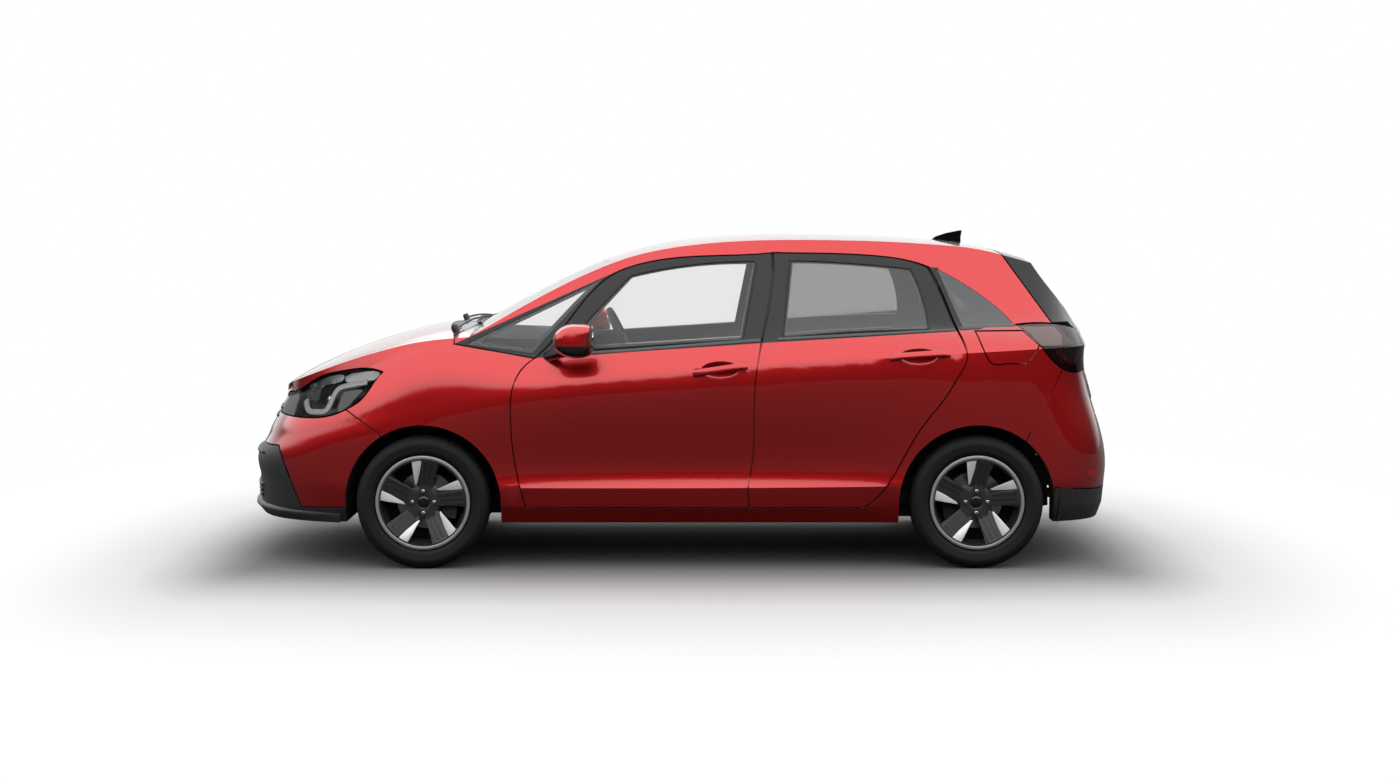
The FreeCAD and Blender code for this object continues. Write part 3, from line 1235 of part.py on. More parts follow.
engine_low = floor_z
pieces["engine_block"] = box(
    (along(ENGINE_SHARES[0]), -ENGINE_SHARES[2] * size.half_width, engine_low),
    (along(ENGINE_SHARES[1]), ENGINE_SHARES[3] * size.half_width, engine_low + size.engine_height))
knuckle_back = -front_y - disc_back - size.shut_gap - size.carrier_width
shafts = []
for sign, reach in ((-1, ENGINE_SHARES[2]), (1, ENGINE_SHARES[3])):
    shafts.append(rod(Vector(front_axle_x, sign * (reach * size.half_width + size.joint_gap), axle_z),
                      Vector(front_axle_x, sign * (knuckle_back - size.inner_gap), axle_z),
                      size.shaft_radius))
pieces["drive_shafts"] = Part.makeCompound(shafts)

pipe_z = floor_z - size.pipe_radius - size.joint_gap
pipe_end = Vector(along(PIPE_SHARES[1]) + size.silencer_radius, size.pipe_aside, pipe_z)
silencer_axis = pipe_end + Vector(0, 0, size.silencer_radius / 2)
silencer = Part.makeCylinder(size.silencer_radius, size.silencer_length,
                             silencer_axis - Vector(0, size.silencer_length / 2, 0), Vector(0, 1, 0))
tail_start = silencer_axis + Vector(0, size.silencer_length / 3, 0)
tail_pipe = rod(tail_start, Vector(tail_x - size.silencer_radius, tail_start.y, tail_start.z),
                size.pipe_radius)
hanger = rod(silencer_axis, Vector(silencer_axis.x, silencer_axis.y,
                                   up(BOOT_UNDER_SHARES[2]) - size.joint_gap),
             size.hanger)
pieces["exhaust"] = rod(Vector(along(PIPE_SHARES[0]), size.pipe_aside, pipe_z), pipe_end,
                        size.pipe_radius).fuse([silencer, tail_pipe, hanger])

# Cabin


def side_extrusion(shares, low_share, high_share):
    """A side-view outline between two width shares."""
    points = outline(shares)
    return side_prism(points, every_corner(points), low_share * size.half_width,
                      high_share * size.half_width)


def half_seat():
    """A front seat: cushion on its base, back and headrest."""
    low, high = SEAT_SPAN_SHARES
    cushion = side_extrusion(CUSHION_SHARES, -high, -low)
    back = side_extrusion(BACK_SHARES, -high, -low)
    rest = side_extrusion(HEADREST_SHARES, -HEADREST_SPAN_SHARES[1], -HEADREST_SPAN_SHARES[0])
    post = rod(Vector(along(BACK_SHARES[3][0]) - size.hanger * 2, -(low + high) / 2 * size.half_width,
                      up(BACK_SHARES[3][1]) - size.seat_base_height),
               Vector(along(HEADREST_SHARES[0][0]) + size.hanger * 2, -(low + high) / 2 * size.half_width,
                      up(HEADREST_SHARES[0][1]) + size.hanger), size.hanger)
    base = box((along(CUSHION_SHARES[0][0]) + size.seat_base_height,
                -high * size.half_width + size.seat_base_height,
                floor_z + size.floor_thickness + size.joint_gap),
               (along(CUSHION_SHARES[1][0]) - size.seat_base_height,
                -low * size.half_width - size.seat_base_height,
                up(CUSHION_SHARES[0][1]) + size.joint_gap))
    return cushion.fuse([back, rest, post, base])


pieces["front_seats"] = pair(half_seat())
rear_seat = side_extrusion(REAR_CUSHION_SHARES, -REAR_SEAT_HALF_SHARE, REAR_SEAT_HALF_SHARE).fuse(
    side_extrusion(REAR_BACK_SHARES, -REAR_SEAT_HALF_SHARE, REAR_SEAT_HALF_SHARE))
pieces["rear_seat"] = rear_seat.cut(wells(
    size.arch_radius + size.well_wall + size.inner_gap,
    size.front_well_width + size.overrun + size.well_wall + size.inner_gap,
    size.rear_well_width + size.overrun + size.well_wall + size.inner_gap))

wheel_hub = Vector(along(STEERING_PLACE_SHARES[0]), -STEERING_PLACE_SHARES[1] * size.half_width,
                   up(STEERING_PLACE_SHARES[2]))
rim_points = [Vector(size.steering_radius + size.steering_rim * math.cos(math.radians(turn)), 0,
                     size.steering_rim * math.sin(math.radians(turn))) for turn in RIM_TURNS]
rim = Part.Face(Part.makePolygon(rim_points)).revolve(Vector(0, 0, 0), Vector(0, 0, 1), 360)
boss = Part.makeCylinder(size.steering_radius / 3, size.steering_rim * 2, Vector(0, 0, -size.steering_rim))
arms = []
for turn in (0, 90, 180):
    spoke = Part.makeBox(size.steering_radius, size.steering_rim * 2, size.steering_rim,
                         Vector(0, -size.steering_rim, -size.steering_rim / 2))
    spoke.rotate(Vector(0, 0, 0), Vector(0, 0, 1), turn)
    arms.append(spoke)
column = Part.makeCylinder(size.steering_rim * 1.5, size.column_length, Vector(0, 0, -size.column_length))
steering = rim.fuse([boss, column] + arms)
steering_turn = Rotation(Vector(0, 1, 0), -size.steering_lean).multiply(Rotation(Vector(0, 0, 1), 90))
steering.Placement = Placement(wheel_hub, steering_turn)
pieces["steering_wheel"] = steering
column_axis = steering_turn.multVec(Vector(0, 0, 1))
socket = Part.makeCylinder(size.steering_rim * 1.5 + size.bearing_gap, size.column_length + size.joint_gap,
                           wheel_hub - column_axis * (size.column_length + size.joint_gap), column_axis)
dashboard = side_extrusion(DASH_SHARES, -DASH_HALF_SHARE, DASH_HALF_SHARE)
side_walls = [pieces["left_side_frame"], pieces["right_side_frame"]]
pieces["dashboard"] = kept(dashboard.cut([socket] + side_walls))
pieces["rear_seat"] = kept(pieces["rear_seat"].cut(side_walls))

# Fittings on the outside


def ball(centre, radii):
    """An egg-shaped body with three radii."""
    stretch = FreeCAD.Matrix()
    stretch.scale(Vector(*radii))
    stretch.move(centre)
    return Part.makeSphere(1.0).transformGeometry(stretch)


mirror_centre = Vector(along(MIRROR_SHARES[0]), -MIRROR_SHARES[1] * size.half_width, up(MIRROR_SHARES[2]))


def mirror_ring(across, growth):
    """One closed upright section of a mirror's housing, at a share of its half width."""
    ring = Part.BSplineCurve()
    ring.interpolate(Points=[mirror_centre + Vector(ahead * growth * size.mirror_depth,
                                                    across * size.mirror_half_width,
                                                    height * growth * size.mirror_half_height)
                             for ahead, height in MIRROR_OUTLINE_SHARES], PeriodicFlag=True)
    return Part.Wire([ring.toShape()])


shell = Part.makeLoft([mirror_ring(across, growth) for across, growth in MIRROR_RING_SHARES], True, True)
foot_end = Vector(along(MIRROR_FOOT_SHARES[0]), -MIRROR_FOOT_SHARES[1] * size.half_width,
                  up(MIRROR_FOOT_SHARES[2]))
foot = rod(mirror_centre - Vector(0, 0, size.mirror_half_height / 2), foot_end, size.mirror_foot)
pieces["left_mirror"] = kept(shell.fuse(foot).cut(outer))
pieces["right_mirror"] = mirrored(pieces["left_mirror"])
fin = side_prism(outline(FIN_SHARES), every_corner(FIN_SHARES), -size.fin_half_width, size.fin_half_width)
pieces["antenna_fin"] = kept(fin.cut(outer))


def skin_y(x, z):
    """How far out the left side's outer skin is at a place in the side view."""
    probe = Part.makeLine(Vector(x, -2 * size.half_width, z), Vector(x, 0, z))
    return probe.common(outer).BoundBox.YMin


for end, (station, height) in HANDLE_PLACES_SHARES.items():
    x = along(station)
    z = up(height)
    skin = skin_y(x, z)
    recess = ball(Vector(x, skin, z), (size.handle_recess, size.recess_depth, size.handle_recess / 2))
    half = size.handle_length / 2
    bar_y = skin - size.handle_standoff / 2
    bar = ball(Vector(x, bar_y, z), (half, size.handle_radius, size.handle_radius * 1.2))
    bar = bar.cut(ball(Vector(x, skin, z), (size.handle_recess, size.handle_standoff / 2,
                                            size.handle_recess)))
    posts = [box((x + offset - size.handle_radius, bar_y, z - size.handle_radius / 2),
                 (x + offset + size.handle_radius, skin + size.handle_radius, z + size.handle_radius / 2))
             for offset in (-half * 0.8, half * 0.8)]
    name = end + "_left_door"
    pieces[name] = kept(pieces[name].cut(recess).fuse([bar] + posts))
    pieces[end + "_right_door"] = mirrored(pieces[name])

# The document's sub-parts, checked and written

for label, shape in pieces.items():
    item = doc.addObject("Part::Feature", label)
    item.Label = label
    item.Shape = shape
doc.recompute()
faults = [item.Label for item in doc.Objects if {"Invalid", "Error"} & set(item.State)]
for label in pieces:
    shape = doc.getObjectsByLabel(label)[0].Shape
    print(label, len(shape.Solids), round(shape.Volume / size.overrun ** 3, 3), shape.isValid())
    if shape.isNull() or not shape.isValid() or not shape.Solids:
        faults.append(label)
if faults:
    raise RuntimeError("These objects failed: " + ", ".join(faults))

os.makedirs("parts", exist_ok=True)
for label in pieces:
    doc.getObjectsByLabel(label)[0].Shape.exportStep("parts/%s.step" % label)
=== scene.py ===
import json
import math

import bmesh
import bpy
from mathutils import Matrix, Vector
from mathutils.bvhtree import BVHTree


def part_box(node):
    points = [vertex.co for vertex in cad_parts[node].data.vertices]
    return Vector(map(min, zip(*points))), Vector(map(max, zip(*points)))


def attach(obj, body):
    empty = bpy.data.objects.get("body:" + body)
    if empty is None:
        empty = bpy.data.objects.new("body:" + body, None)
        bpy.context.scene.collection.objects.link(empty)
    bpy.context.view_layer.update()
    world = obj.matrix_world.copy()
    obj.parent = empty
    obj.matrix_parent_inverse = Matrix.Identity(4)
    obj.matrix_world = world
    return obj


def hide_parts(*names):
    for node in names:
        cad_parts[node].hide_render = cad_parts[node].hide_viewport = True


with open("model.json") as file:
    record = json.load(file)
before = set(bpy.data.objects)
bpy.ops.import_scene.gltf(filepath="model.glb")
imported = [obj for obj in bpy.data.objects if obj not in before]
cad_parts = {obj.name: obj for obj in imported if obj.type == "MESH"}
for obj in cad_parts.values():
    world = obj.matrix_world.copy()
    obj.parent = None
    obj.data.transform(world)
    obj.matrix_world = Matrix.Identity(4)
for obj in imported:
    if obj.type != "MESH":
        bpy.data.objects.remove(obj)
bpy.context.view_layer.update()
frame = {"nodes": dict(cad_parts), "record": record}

scene = bpy.context.scene
nodes = frame["nodes"]
bodyOf = {node: body for body, members in frame["record"]["behaviour"]["bodies"].items()
          for node in members}
sides = (("left", -1), ("right", 1))
axles = {"front": -1.170, "rear": 1.360}
axleHeight = 0.305
corners = [(end, axleX, side, sign) for end, axleX in axles.items() for side, sign in sides]
mm = 0.001
print("frame loaded:", len(nodes), "nodes")


# Small tools

def linear(hexText):  # sRGB hex to linear colour
    parts = [int(hexText[i:i + 2], 16) / 255 for i in (0, 2, 4)]
    return [p / 12.92 if p <= 0.04045 else ((p + 0.055) / 1.055) ** 2.4 for p in parts] + [1.0]


def addNode(tree, kind, inputs=None, links=None, **settings):  # one node with its settings and links
    made = tree.nodes.new(kind)
    for name, value in settings.items():
        setattr(made, name, value)
    for name, value in (inputs or {}).items():
        made.inputs[name].default_value = value
    for name, socket in (links or {}).items():
        tree.links.new(socket, made.inputs[name])
    return made


def newMaterial(name, colour=None, **sockets):  # a Principled material with its plain socket values
    material = bpy.data.materials.new(name)
    material.use_nodes = True
    tree = material.node_tree
    surface = tree.nodes["Principled BSDF"]
    if colour:
        surface.inputs["Base Color"].default_value = linear(colour)
    for socket, value in sockets.items():
        surface.inputs[socket.replace("_", " ")].default_value = value
    return material, tree, surface, addNode(tree, "ShaderNodeTexCoord").outputs["Object"]


def speckle(tree, place, scale, detail=2.0):  # fine noise, scale in features per metre
    made = addNode(tree, "ShaderNodeTexNoise", {"Scale": scale, "Detail": detail}, {"Vector": place})
    return made.outputs["Fac"]


def ramp(tree, fac, stops):  # colour ramp from pairs of a position and a hex colour or grey level
    made = addNode(tree, "ShaderNodeValToRGB", links={"Fac": fac})
    band = made.color_ramp
    while len(band.elements) < len(stops):
        band.elements.new(0.5)
    for element, (position, shade) in zip(band.elements, stops):
        element.position = position
        element.color = linear(shade) if isinstance(shade, str) else (shade, shade, shade, 1)
    return made.outputs["Color"]


def spread(tree, fac, low, high):  # maps 0..1 to low..high
    made = addNode(tree, "ShaderNodeMapRange", {"To Min": low, "To Max": high}, {"Value": fac})
    return made.outputs["Result"]


def uneven(tree, surface, place, scale, low, high, detail=2.0):  # roughness that wanders over the surface
    wear = spread(tree, speckle(tree, place, scale, detail), low, high)
    tree.links.new(wear, surface.inputs["Roughness"])


def bumped(tree, surface, height, strength, distance):
    made = addNode(tree, "ShaderNodeBump", {"Strength": strength, "Distance": distance}, {"Height": height})
    tree.links.new(made.outputs["Normal"], surface.inputs["Normal"])


# Materials

# Metallic basecoat under clear coat: deep face-on, darker at a slant, a thin gloss on top
paint = {"faceOn": "B3060C", "slant": "6E0308", "slantAt": 0.85, "flakeMm": 0.9, "glint": (0.82, 1.18),
         "coatIor": 1.5}


def carPaint():
    material, tree, surface, place = newMaterial(
        "metallic_red_paint", Metallic=0.72, Roughness=0.34, Coat_Weight=1.0, Coat_Roughness=0.02,
        Coat_IOR=paint["coatIor"])
    facing = addNode(tree, "ShaderNodeLayerWeight", {"Blend": 0.35}).outputs["Facing"]
    colour = ramp(tree, facing, [(0.0, paint["faceOn"]), (paint["slantAt"], paint["slant"])])
    glint = spread(tree, speckle(tree, place, 1000 / paint["flakeMm"], 0.0), *paint["glint"])
    mixed = addNode(tree, "ShaderNodeVectorMath", links={0: colour, "Scale": glint}, operation="SCALE")
    tree.links.new(mixed.outputs["Vector"], surface.inputs["Base Color"])
    return material


def mouldedPlastic(name, colour, roughness, grainMm=1.6, grainDepth=0.00006):
    # injection moulded ABS or polypropylene: fine leather grain, soft sheen
    material, tree, surface, place = newMaterial(name, colour, Roughness=roughness)
    grain = addNode(tree, "ShaderNodeTexVoronoi", {"Scale": 1000 / grainMm}, {"Vector": place})
    bumped(tree, surface, grain.outputs["Distance"], 0.35, grainDepth)
    uneven(tree, surface, place, 35, roughness * 0.88, roughness * 1.12)
    return material


def glossFilm(name, colour, roughness, specular=0.5):
    # black film on the window frames, satin, and gloss black trim paint
    material, tree, surface, place = newMaterial(
        name, colour, Roughness=roughness, Coat_Weight=specular * 0.6, Coat_Roughness=0.1,
        Specular_IOR_Level=specular)
    uneven(tree, surface, place, 60, roughness * 0.85, roughness * 1.15)
    return material


def paneGlass(name, colour, density):
    # float glass or clear lens, mirror-like at a slant; density: the share of light each surface holds back
    material, tree, surface, place = newMaterial(name, colour, Roughness=0.015, IOR=1.52)
    slant = addNode(tree, "ShaderNodeFresnel", {"IOR": 1.5}).outputs["Fac"]
    tree.links.new(spread(tree, slant, density, 1.0), surface.inputs["Alpha"])
    uneven(tree, surface, place, 9, 0.010, 0.022)
    return material


def castMetal(name, colour, roughness, metallic=1.0, grainMm=2.5, depth=0.0001):
    # cast, rolled or plated metal: its grain shades the colour a little and gives the relief
    material, tree, surface, place = newMaterial(name, Metallic=metallic, Roughness=roughness)
    shade = speckle(tree, place, 1000 / grainMm)
    dark = addNode(tree, "ShaderNodeMix", {"Factor": 0.12, 6: linear(colour)}, {7: shade}, data_type="RGBA",
                   blend_type="MULTIPLY")
    tree.links.new(dark.outputs[2], surface.inputs["Base Color"])
    bumped(tree, surface, shade, 0.3, depth)
    return material


def machinedMetal(name, colour, metallic):
    # diamond-turned aluminium under clear lacquer, with fine tool marks
    material, tree, surface, place = newMaterial(
        name, colour, Metallic=metallic, Roughness=0.38, Coat_Weight=0.3)
    uneven(tree, surface, place, 700.0, 0.32, 0.44, 1.0)
    return material


def tyreRubber():
    # cured tyre rubber: dark, dry, slightly brown-grey with fine moulding marks
    material, tree, surface, place = newMaterial("tyre_rubber", Roughness=0.72, Specular_IOR_Level=0.3)
    colour = ramp(tree, speckle(tree, place, 22, 4), [(0.3, "0C0C0D"), (0.7, "121213")])
    tree.links.new(colour, surface.inputs["Base Color"])
    bumped(tree, surface, speckle(tree, place, 900), 0.25, 0.0001)
    return material


def wovenCloth(name, colour, shade, threadMm=2.4):
    # flat woven cloth, its threads drawn coarse enough to show
    material, tree, surface, place = newMaterial(
        name, Roughness=0.85, Sheen_Weight=0.35, Sheen_Roughness=0.5)
    warp, weft = (addNode(tree, "ShaderNodeTexWave", {"Scale": 1000 / threadMm / 6.3, "Distortion": 0.4},
                          {"Vector": place}, bands_direction=way).outputs["Fac"] for way in "XZ")
    cross = addNode(tree, "ShaderNodeMath", links={0: warp, 1: weft}, operation="MULTIPLY").outputs["Value"]
    tree.links.new(ramp(tree, cross, [(0.0, shade), (1.0, colour)]), surface.inputs["Base Color"])
    bumped(tree, surface, cross, 0.4, 0.0006)
    return material


redPaint = carPaint()
sashBlack = glossFilm("satin_window_frame", "1D1E1F", 0.30, 0.24)
pianoBlack = glossFilm("gloss_black_trim", "0B0B0C", 0.08)
darkPlastic = mouldedPlastic("dark_grained_plastic", "1C1D1F", 0.55)
skirtPlastic = mouldedPlastic("bumper_skirt_plastic", "252628", 0.50)
cabinPlastic = mouldedPlastic("cabin_trim_plastic", "3A3B3E", 0.60)
roofCloth = wovenCloth("headliner_cloth", "77767A", "5E5D61", 3.0)
carpet = wovenCloth("floor_carpet", "232325", "141415", 4.0)
seatCloth = wovenCloth("seat_cloth", "3B3C40", "232427")
# the window panes' pale base colours are partly the glass's tint and partly painted reflection: they lighten
# each pane where it holds light back
frontGlass = paneGlass("clear_window_glass", "E6E8E8", 0.05)
rearGlass = paneGlass("privacy_window_glass", "8A8C8D", 0.30)
quarterGlass = paneGlass("dark_window_glass", "7A7C7D", 0.54)
lampGlass = paneGlass("lamp_lens", "2A2C2E", 0.03)
smokedLens = paneGlass("smoked_tail_lens", "7A6462", 0.40)
redLens = paneGlass("red_tail_lens", "180305", 0.45)
underCoat = mouldedPlastic("underbody_coating", "121213", 0.8, 3.0, 0.0002)
wheelGrey = castMetal("dark_wheel_lacquer", "3E3F42", 0.34, 0.40, 1.2, 0.00002)
turnedMetal = machinedMetal("turned_aluminium", "F2F3F4", 0.25)
rimMetal = machinedMetal("turned_rim_aluminium", "A9ABAD", 0.55)
castIron = castMetal("cast_iron", "4A4744", 0.55)
discSteel = castMetal("turned_brake_steel", "8F8C89", 0.28, 1.0, 1.0, 0.00003)
castAlloy = castMetal("cast_aluminium", "A4A5A6", 0.42)
pipeSteel = castMetal("aluminised_steel", "8A8781", 0.38)
chrome = castMetal("bright_chrome", "DCDDDE", 0.06, 1.0, 4.0, 0.0)
mirrorSilver = castMetal("silvered_glass", "E6E8EA", 0.02, 1.0, 8.0, 0.0)
rubber = tyreRubber()
sealRubber = mouldedPlastic("seal_rubber", "0C0C0D", 0.65, 2.0, 0.00003)
plateWhite = mouldedPlastic("blank_plate", "D6D7D5", 0.35, 3.0, 0.00002)
beltPlastic = mouldedPlastic("belt_moulding_plastic", "3C3E40", 0.38, 1.6, 0.00003)
lampHousing = mouldedPlastic("lamp_housing", "08090A", 0.42, 2.0, 0.00003)
guideWhite = mouldedPlastic("light_guide_acrylic", "D8DADB", 0.22, 3.0, 0.00002)
lampSilver = castMetal("aluminised_reflector", "77797B", 0.25, 0.8, 3.0, 0.00002)
lensGlass = castMetal("projector_lens", "5C6468", 0.05, 0.9, 6.0, 0.0)
tailSilver = mouldedPlastic("tail_reflector", "C9B6B4", 0.30, 2.0, 0.00004)
tailRed = mouldedPlastic("tail_light_guide", "A50C12", 0.20, 2.0, 0.00003)
print("materials made")


# Dressing CAD nodes: a merged, smooth copy stands for each

def creaseEdges(mesh, degrees):
    bm = bmesh.new()
    bm.from_mesh(mesh)
    limit = math.radians(degrees)
    for face in bm.faces:
        face.smooth = True
    for edge in bm.edges:
        edge.smooth = len(edge.link_faces) == 2 and edge.calc_face_angle(0) < limit
    bm.to_mesh(mesh)
    bm.free()


def settled(name, bm, finishes, crease=None):  # an object at the origin from a bmesh
    mesh = bpy.data.meshes.new(name)
    bm.to_mesh(mesh)
    bm.free()
    for finish in finishes:
        mesh.materials.append(finish)
    if crease:
        creaseEdges(mesh, crease)
    piece = bpy.data.objects.new(name, mesh)
    scene.collection.objects.link(piece)
    return piece


def onBody(piece, node):
    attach(piece, bodyOf[node])
    return piece


def dress(node, finishes, choose=None, cuts=(), crease=22):
    # finishes: materials; choose(centre, normal) gives each face's finish; cuts: (point, normal) planes
    bm = bmesh.new()
    bm.from_mesh(nodes[node].data)
    bmesh.ops.remove_doubles(bm, verts=bm.verts, dist=2e-5)
    for point, normal in cuts:
        bmesh.ops.bisect_plane(bm, geom=bm.verts[:] + bm.edges[:] + bm.faces[:], dist=1e-6,
                               plane_co=Vector(point), plane_no=Vector(normal))
    if choose:
        for face in bm.faces:
            face.material_index = choose(face.calc_center_median(), face.normal)
    piece = settled(node + "_skin", bm, finishes, crease)
    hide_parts(node)
    onBody(piece, node)


# Where one finish ends and another starts: heights and places in x, and planes as a point and a normal
edges = {"doors": 0.385, "arch": 0.392, "sill": 0.255, "quarterFoot": 1.093, "quarterTop": 1.372,
         "quarterFrom": 1.14, "cornerTo": -0.29, "gate": 1.078, "gateInner": 1.93, "mirror": 1.030,
         "grille": 0.62, "underFloor": 0.26, "sashInner": 0.72, "doorInner": 0.768, "frameInner": 0.60,
         "darkGlass": 0.5}
belt = {"front": ((-0.66, 0.0, 0.963), (0.43, 0.0, 1.036)),
        "rear": ((0.43, 0.0, 1.036), (1.27, 0.0, 1.085))}
quarterFront = ((1.309, 0, 1.093), (0.926, 0, 0.376))  # at the rear side pane's front edge
cornerTop = ((-1.028, 0, 1.027), (-0.319, 0, 0.720))  # above and below the front corner pane
cornerFoot = ((-1.028, 0, 1.027), (0.065, 0, 0.368))


def level(height):
    return (0, 0, height), (0, 0, 1)


def beltPlane(end):  # the lower edge of the dark window frames
    start, stop = (Vector(p) for p in belt[end])
    run = stop - start
    return start, Vector((-run.z, 0, run.x)).normalized()


def beyond(spot, plane):
    return (spot - Vector(plane[0])).dot(Vector(plane[1])) > 0


def aboveBelt(centre):
    return beyond(centre, beltPlane("front" if centre.x < edges["doors"] else "rear"))


def outLook(centre, normal):  # how far a face looks away from the car's middle
    return normal.y * (1 if centre.y > 0 else -1)


def sideFace(centre, normal):  # black strips: ahead of the rear side pane and round the front corner pane
    if centre.x > edges["quarterFrom"] and edges["quarterFoot"] < centre.z < edges["quarterTop"]:
        return 0 if beyond(centre, quarterFront) else 1
    corner = centre.x < edges["cornerTo"] and beyond(centre, cornerFoot) and not beyond(centre, cornerTop)
    return 1 if corner else 0


def doorFace(centre, normal):
    out, depth = outLook(centre, normal), abs(centre.y)
    if aboveBelt(centre):
        return 2 if out < -0.3 and depth < edges["sashInner"] else 1
    return 2 if out < -0.2 and depth < edges["doorInner"] else 0


def frameFace(centre, normal):
    arch = edges["arch"] ** 2
    inArch = any((centre.x - x) ** 2 + (centre.z - axleHeight) ** 2 < arch for x in axles.values())
    if inArch or centre.z < edges["sill"]:
        return 3
    above = aboveBelt(centre)
    if outLook(centre, normal) < -0.25 or (normal.z < -0.5 and above) or abs(centre.y) < edges["frameInner"]:
        return 2
    return 1 if above else 0


def gateFace(centre, normal):
    if normal.x < -0.35 and centre.x < edges["gateInner"]:
        return 2
    return 1 if centre.z > edges["gate"] else 0


def floorFace(centre, normal):
    return 0 if normal.z > 0.4 or (abs(normal.z) < 0.4 and centre.z > edges["underFloor"]) else 1


def mirrorFace(centre, normal):
    return 0 if centre.z > edges["mirror"] and normal.x < 0.9 else 1


for side, _ in sides:
    for end in axles:
        door = "%s_%s_door" % (end, side)
        dress(door, [redPaint, sashBlack, cabinPlastic], doorFace, [beltPlane(end)])
        dress(door + "_glass", [frontGlass if end == "front" else rearGlass])
    dress(side + "_side_frame", [redPaint, sashBlack, cabinPlastic, underCoat], frameFace,
          [beltPlane(end) for end in axles])
    dress(side + "_mirror", [redPaint, pianoBlack], mirrorFace, [level(edges["mirror"])])
for name in ("bonnet", "fenders", "front_bumper", "rear_bumper", "roof_panel", "fuel_lid"):
    dress(name, [redPaint])
dress("body_sides", [redPaint, sashBlack], sideFace,
      [quarterFront, cornerTop, cornerFoot, level(edges["quarterFoot"]), level(edges["quarterTop"])])
dress("tailgate", [redPaint, sashBlack, cabinPlastic], gateFace, [level(edges["gate"])])
dress("tailgate_glass", [quarterGlass])
dress("windscreen", [frontGlass])
dress("fixed_side_glass", [frontGlass, quarterGlass],
      lambda centre, normal: 1 if centre.x > edges["darkGlass"] else 0)
dress("cowl", [darkPlastic])
dress("front_grilles", [skirtPlastic, pianoBlack],
      lambda centre, normal: 1 if centre.z > edges["grille"] else 0)
dress("rear_valance", [skirtPlastic])
dress("roof_frame", [redPaint, roofCloth], lambda centre, normal: 1 if normal.z < 0.1 else 0)
dress("floor_pan", [carpet, underCoat], floorFace)
dress("front_structure", [underCoat])
dress("antenna_fin", [pianoBlack], crease=50)
dress("steering_wheel", [darkPlastic], crease=50)
dress("dashboard", [cabinPlastic])
for name, finish in (("engine_block", castAlloy), ("front_subframe", underCoat),
                     ("rear_axle_beam", underCoat), ("drive_shafts", castIron), ("exhaust", pipeSteel),
                     ("left_knuckle", castIron), ("right_knuckle", castIron)):
    dress(name, [finish], crease=35)
for end, _, side, _ in corners:
    dress("%s_%s_disc" % (end, side), [discSteel], crease=35)
print("body dressed")


# Meshes built here

def meshPiece(name, points, faces, finish, smooth=35):
    rough = bpy.data.meshes.new("rough")
    rough.from_pydata([tuple(p) for p in points], [], faces)
    bm = bmesh.new()
    bm.from_mesh(rough)
    bpy.data.meshes.remove(rough)
    bmesh.ops.remove_doubles(bm, verts=bm.verts, dist=1e-6)
    bmesh.ops.recalc_face_normals(bm, faces=bm.faces)
    return settled(name, bm, [finish], smooth)


def applied(piece):  # the evaluated mesh with no modifiers left
    bpy.context.view_layer.update()
    seen = piece.evaluated_get(bpy.context.evaluated_depsgraph_get())
    mesh = bpy.data.meshes.new_from_object(seen)
    piece.modifiers.clear()
    piece.data = mesh
    return piece


def bevelled(piece, width, segments=2):
    made = piece.modifiers.new("edge", "BEVEL")
    made.width = width
    made.segments = segments
    made.limit_method = "ANGLE"
    made.angle_limit = math.radians(35)
    applied(piece)
    creaseEdges(piece.data, 40)
    return piece


def joined(name, pieces):  # one piece from several, keeping their finishes
    bm = bmesh.new()
    finishes = []
    for piece in pieces:
        start = len(bm.faces)
        bm.from_mesh(piece.data)
        bm.faces.ensure_lookup_table()
        moves = {}
        for index, finish in enumerate(piece.data.materials):
            if finish not in finishes:
                finishes.append(finish)
            moves[index] = finishes.index(finish)
        for face in bm.faces[start:]:
            face.material_index = moves.get(face.material_index, 0)
        bpy.data.objects.remove(piece)
    return settled(name, bm, finishes)


def placed(piece, move):  # moves the mesh itself, so the object stays at the origin
    piece.data.transform(move)
    if move.determinant() < 0:
        piece.data.flip_normals()
    return piece


def twin(piece, name, move):
    copy = bpy.data.objects.new(name, piece.data.copy())
    scene.collection.objects.link(copy)
    return placed(copy, move)


def bands(rows, count, around=True, closed=False):  # quads between rows of points
    return [(row * count + i, row * count + (i + 1) % count,
             (row + 1) % rows * count + (i + 1) % count, (row + 1) % rows * count + i)
            for row in range(rows if closed else rows - 1) for i in range(count if around else count - 1)]


def caps(total, count):  # the first and the last row as faces
    return [tuple(range(count)), tuple(range(total - 1, total - 1 - count, -1))]


def lathe(name, profile, finish, steps, closed=True, smooth=35):  # profile (radius, y) turned about Y
    turns = [2 * math.pi * step / steps for step in range(steps)]
    points = [(r * math.cos(turn), y, r * math.sin(turn)) for turn in turns for r, y in profile]
    return meshPiece(name, points, bands(steps, len(profile), closed, True), finish, smooth)


def prism(name, outline, low, high, finish, axis="Y"):  # an outline of (across, up) between two depths
    points = [(depth, a, b) if axis == "X" else (a, depth, b) for depth in (low, high) for a, b in outline]
    return meshPiece(name, points, caps(len(points), len(outline)) + bands(2, len(outline)), finish)


def symmetric(left):  # a section from its left half
    return left + [(-a, b) for a, b in reversed(left)]


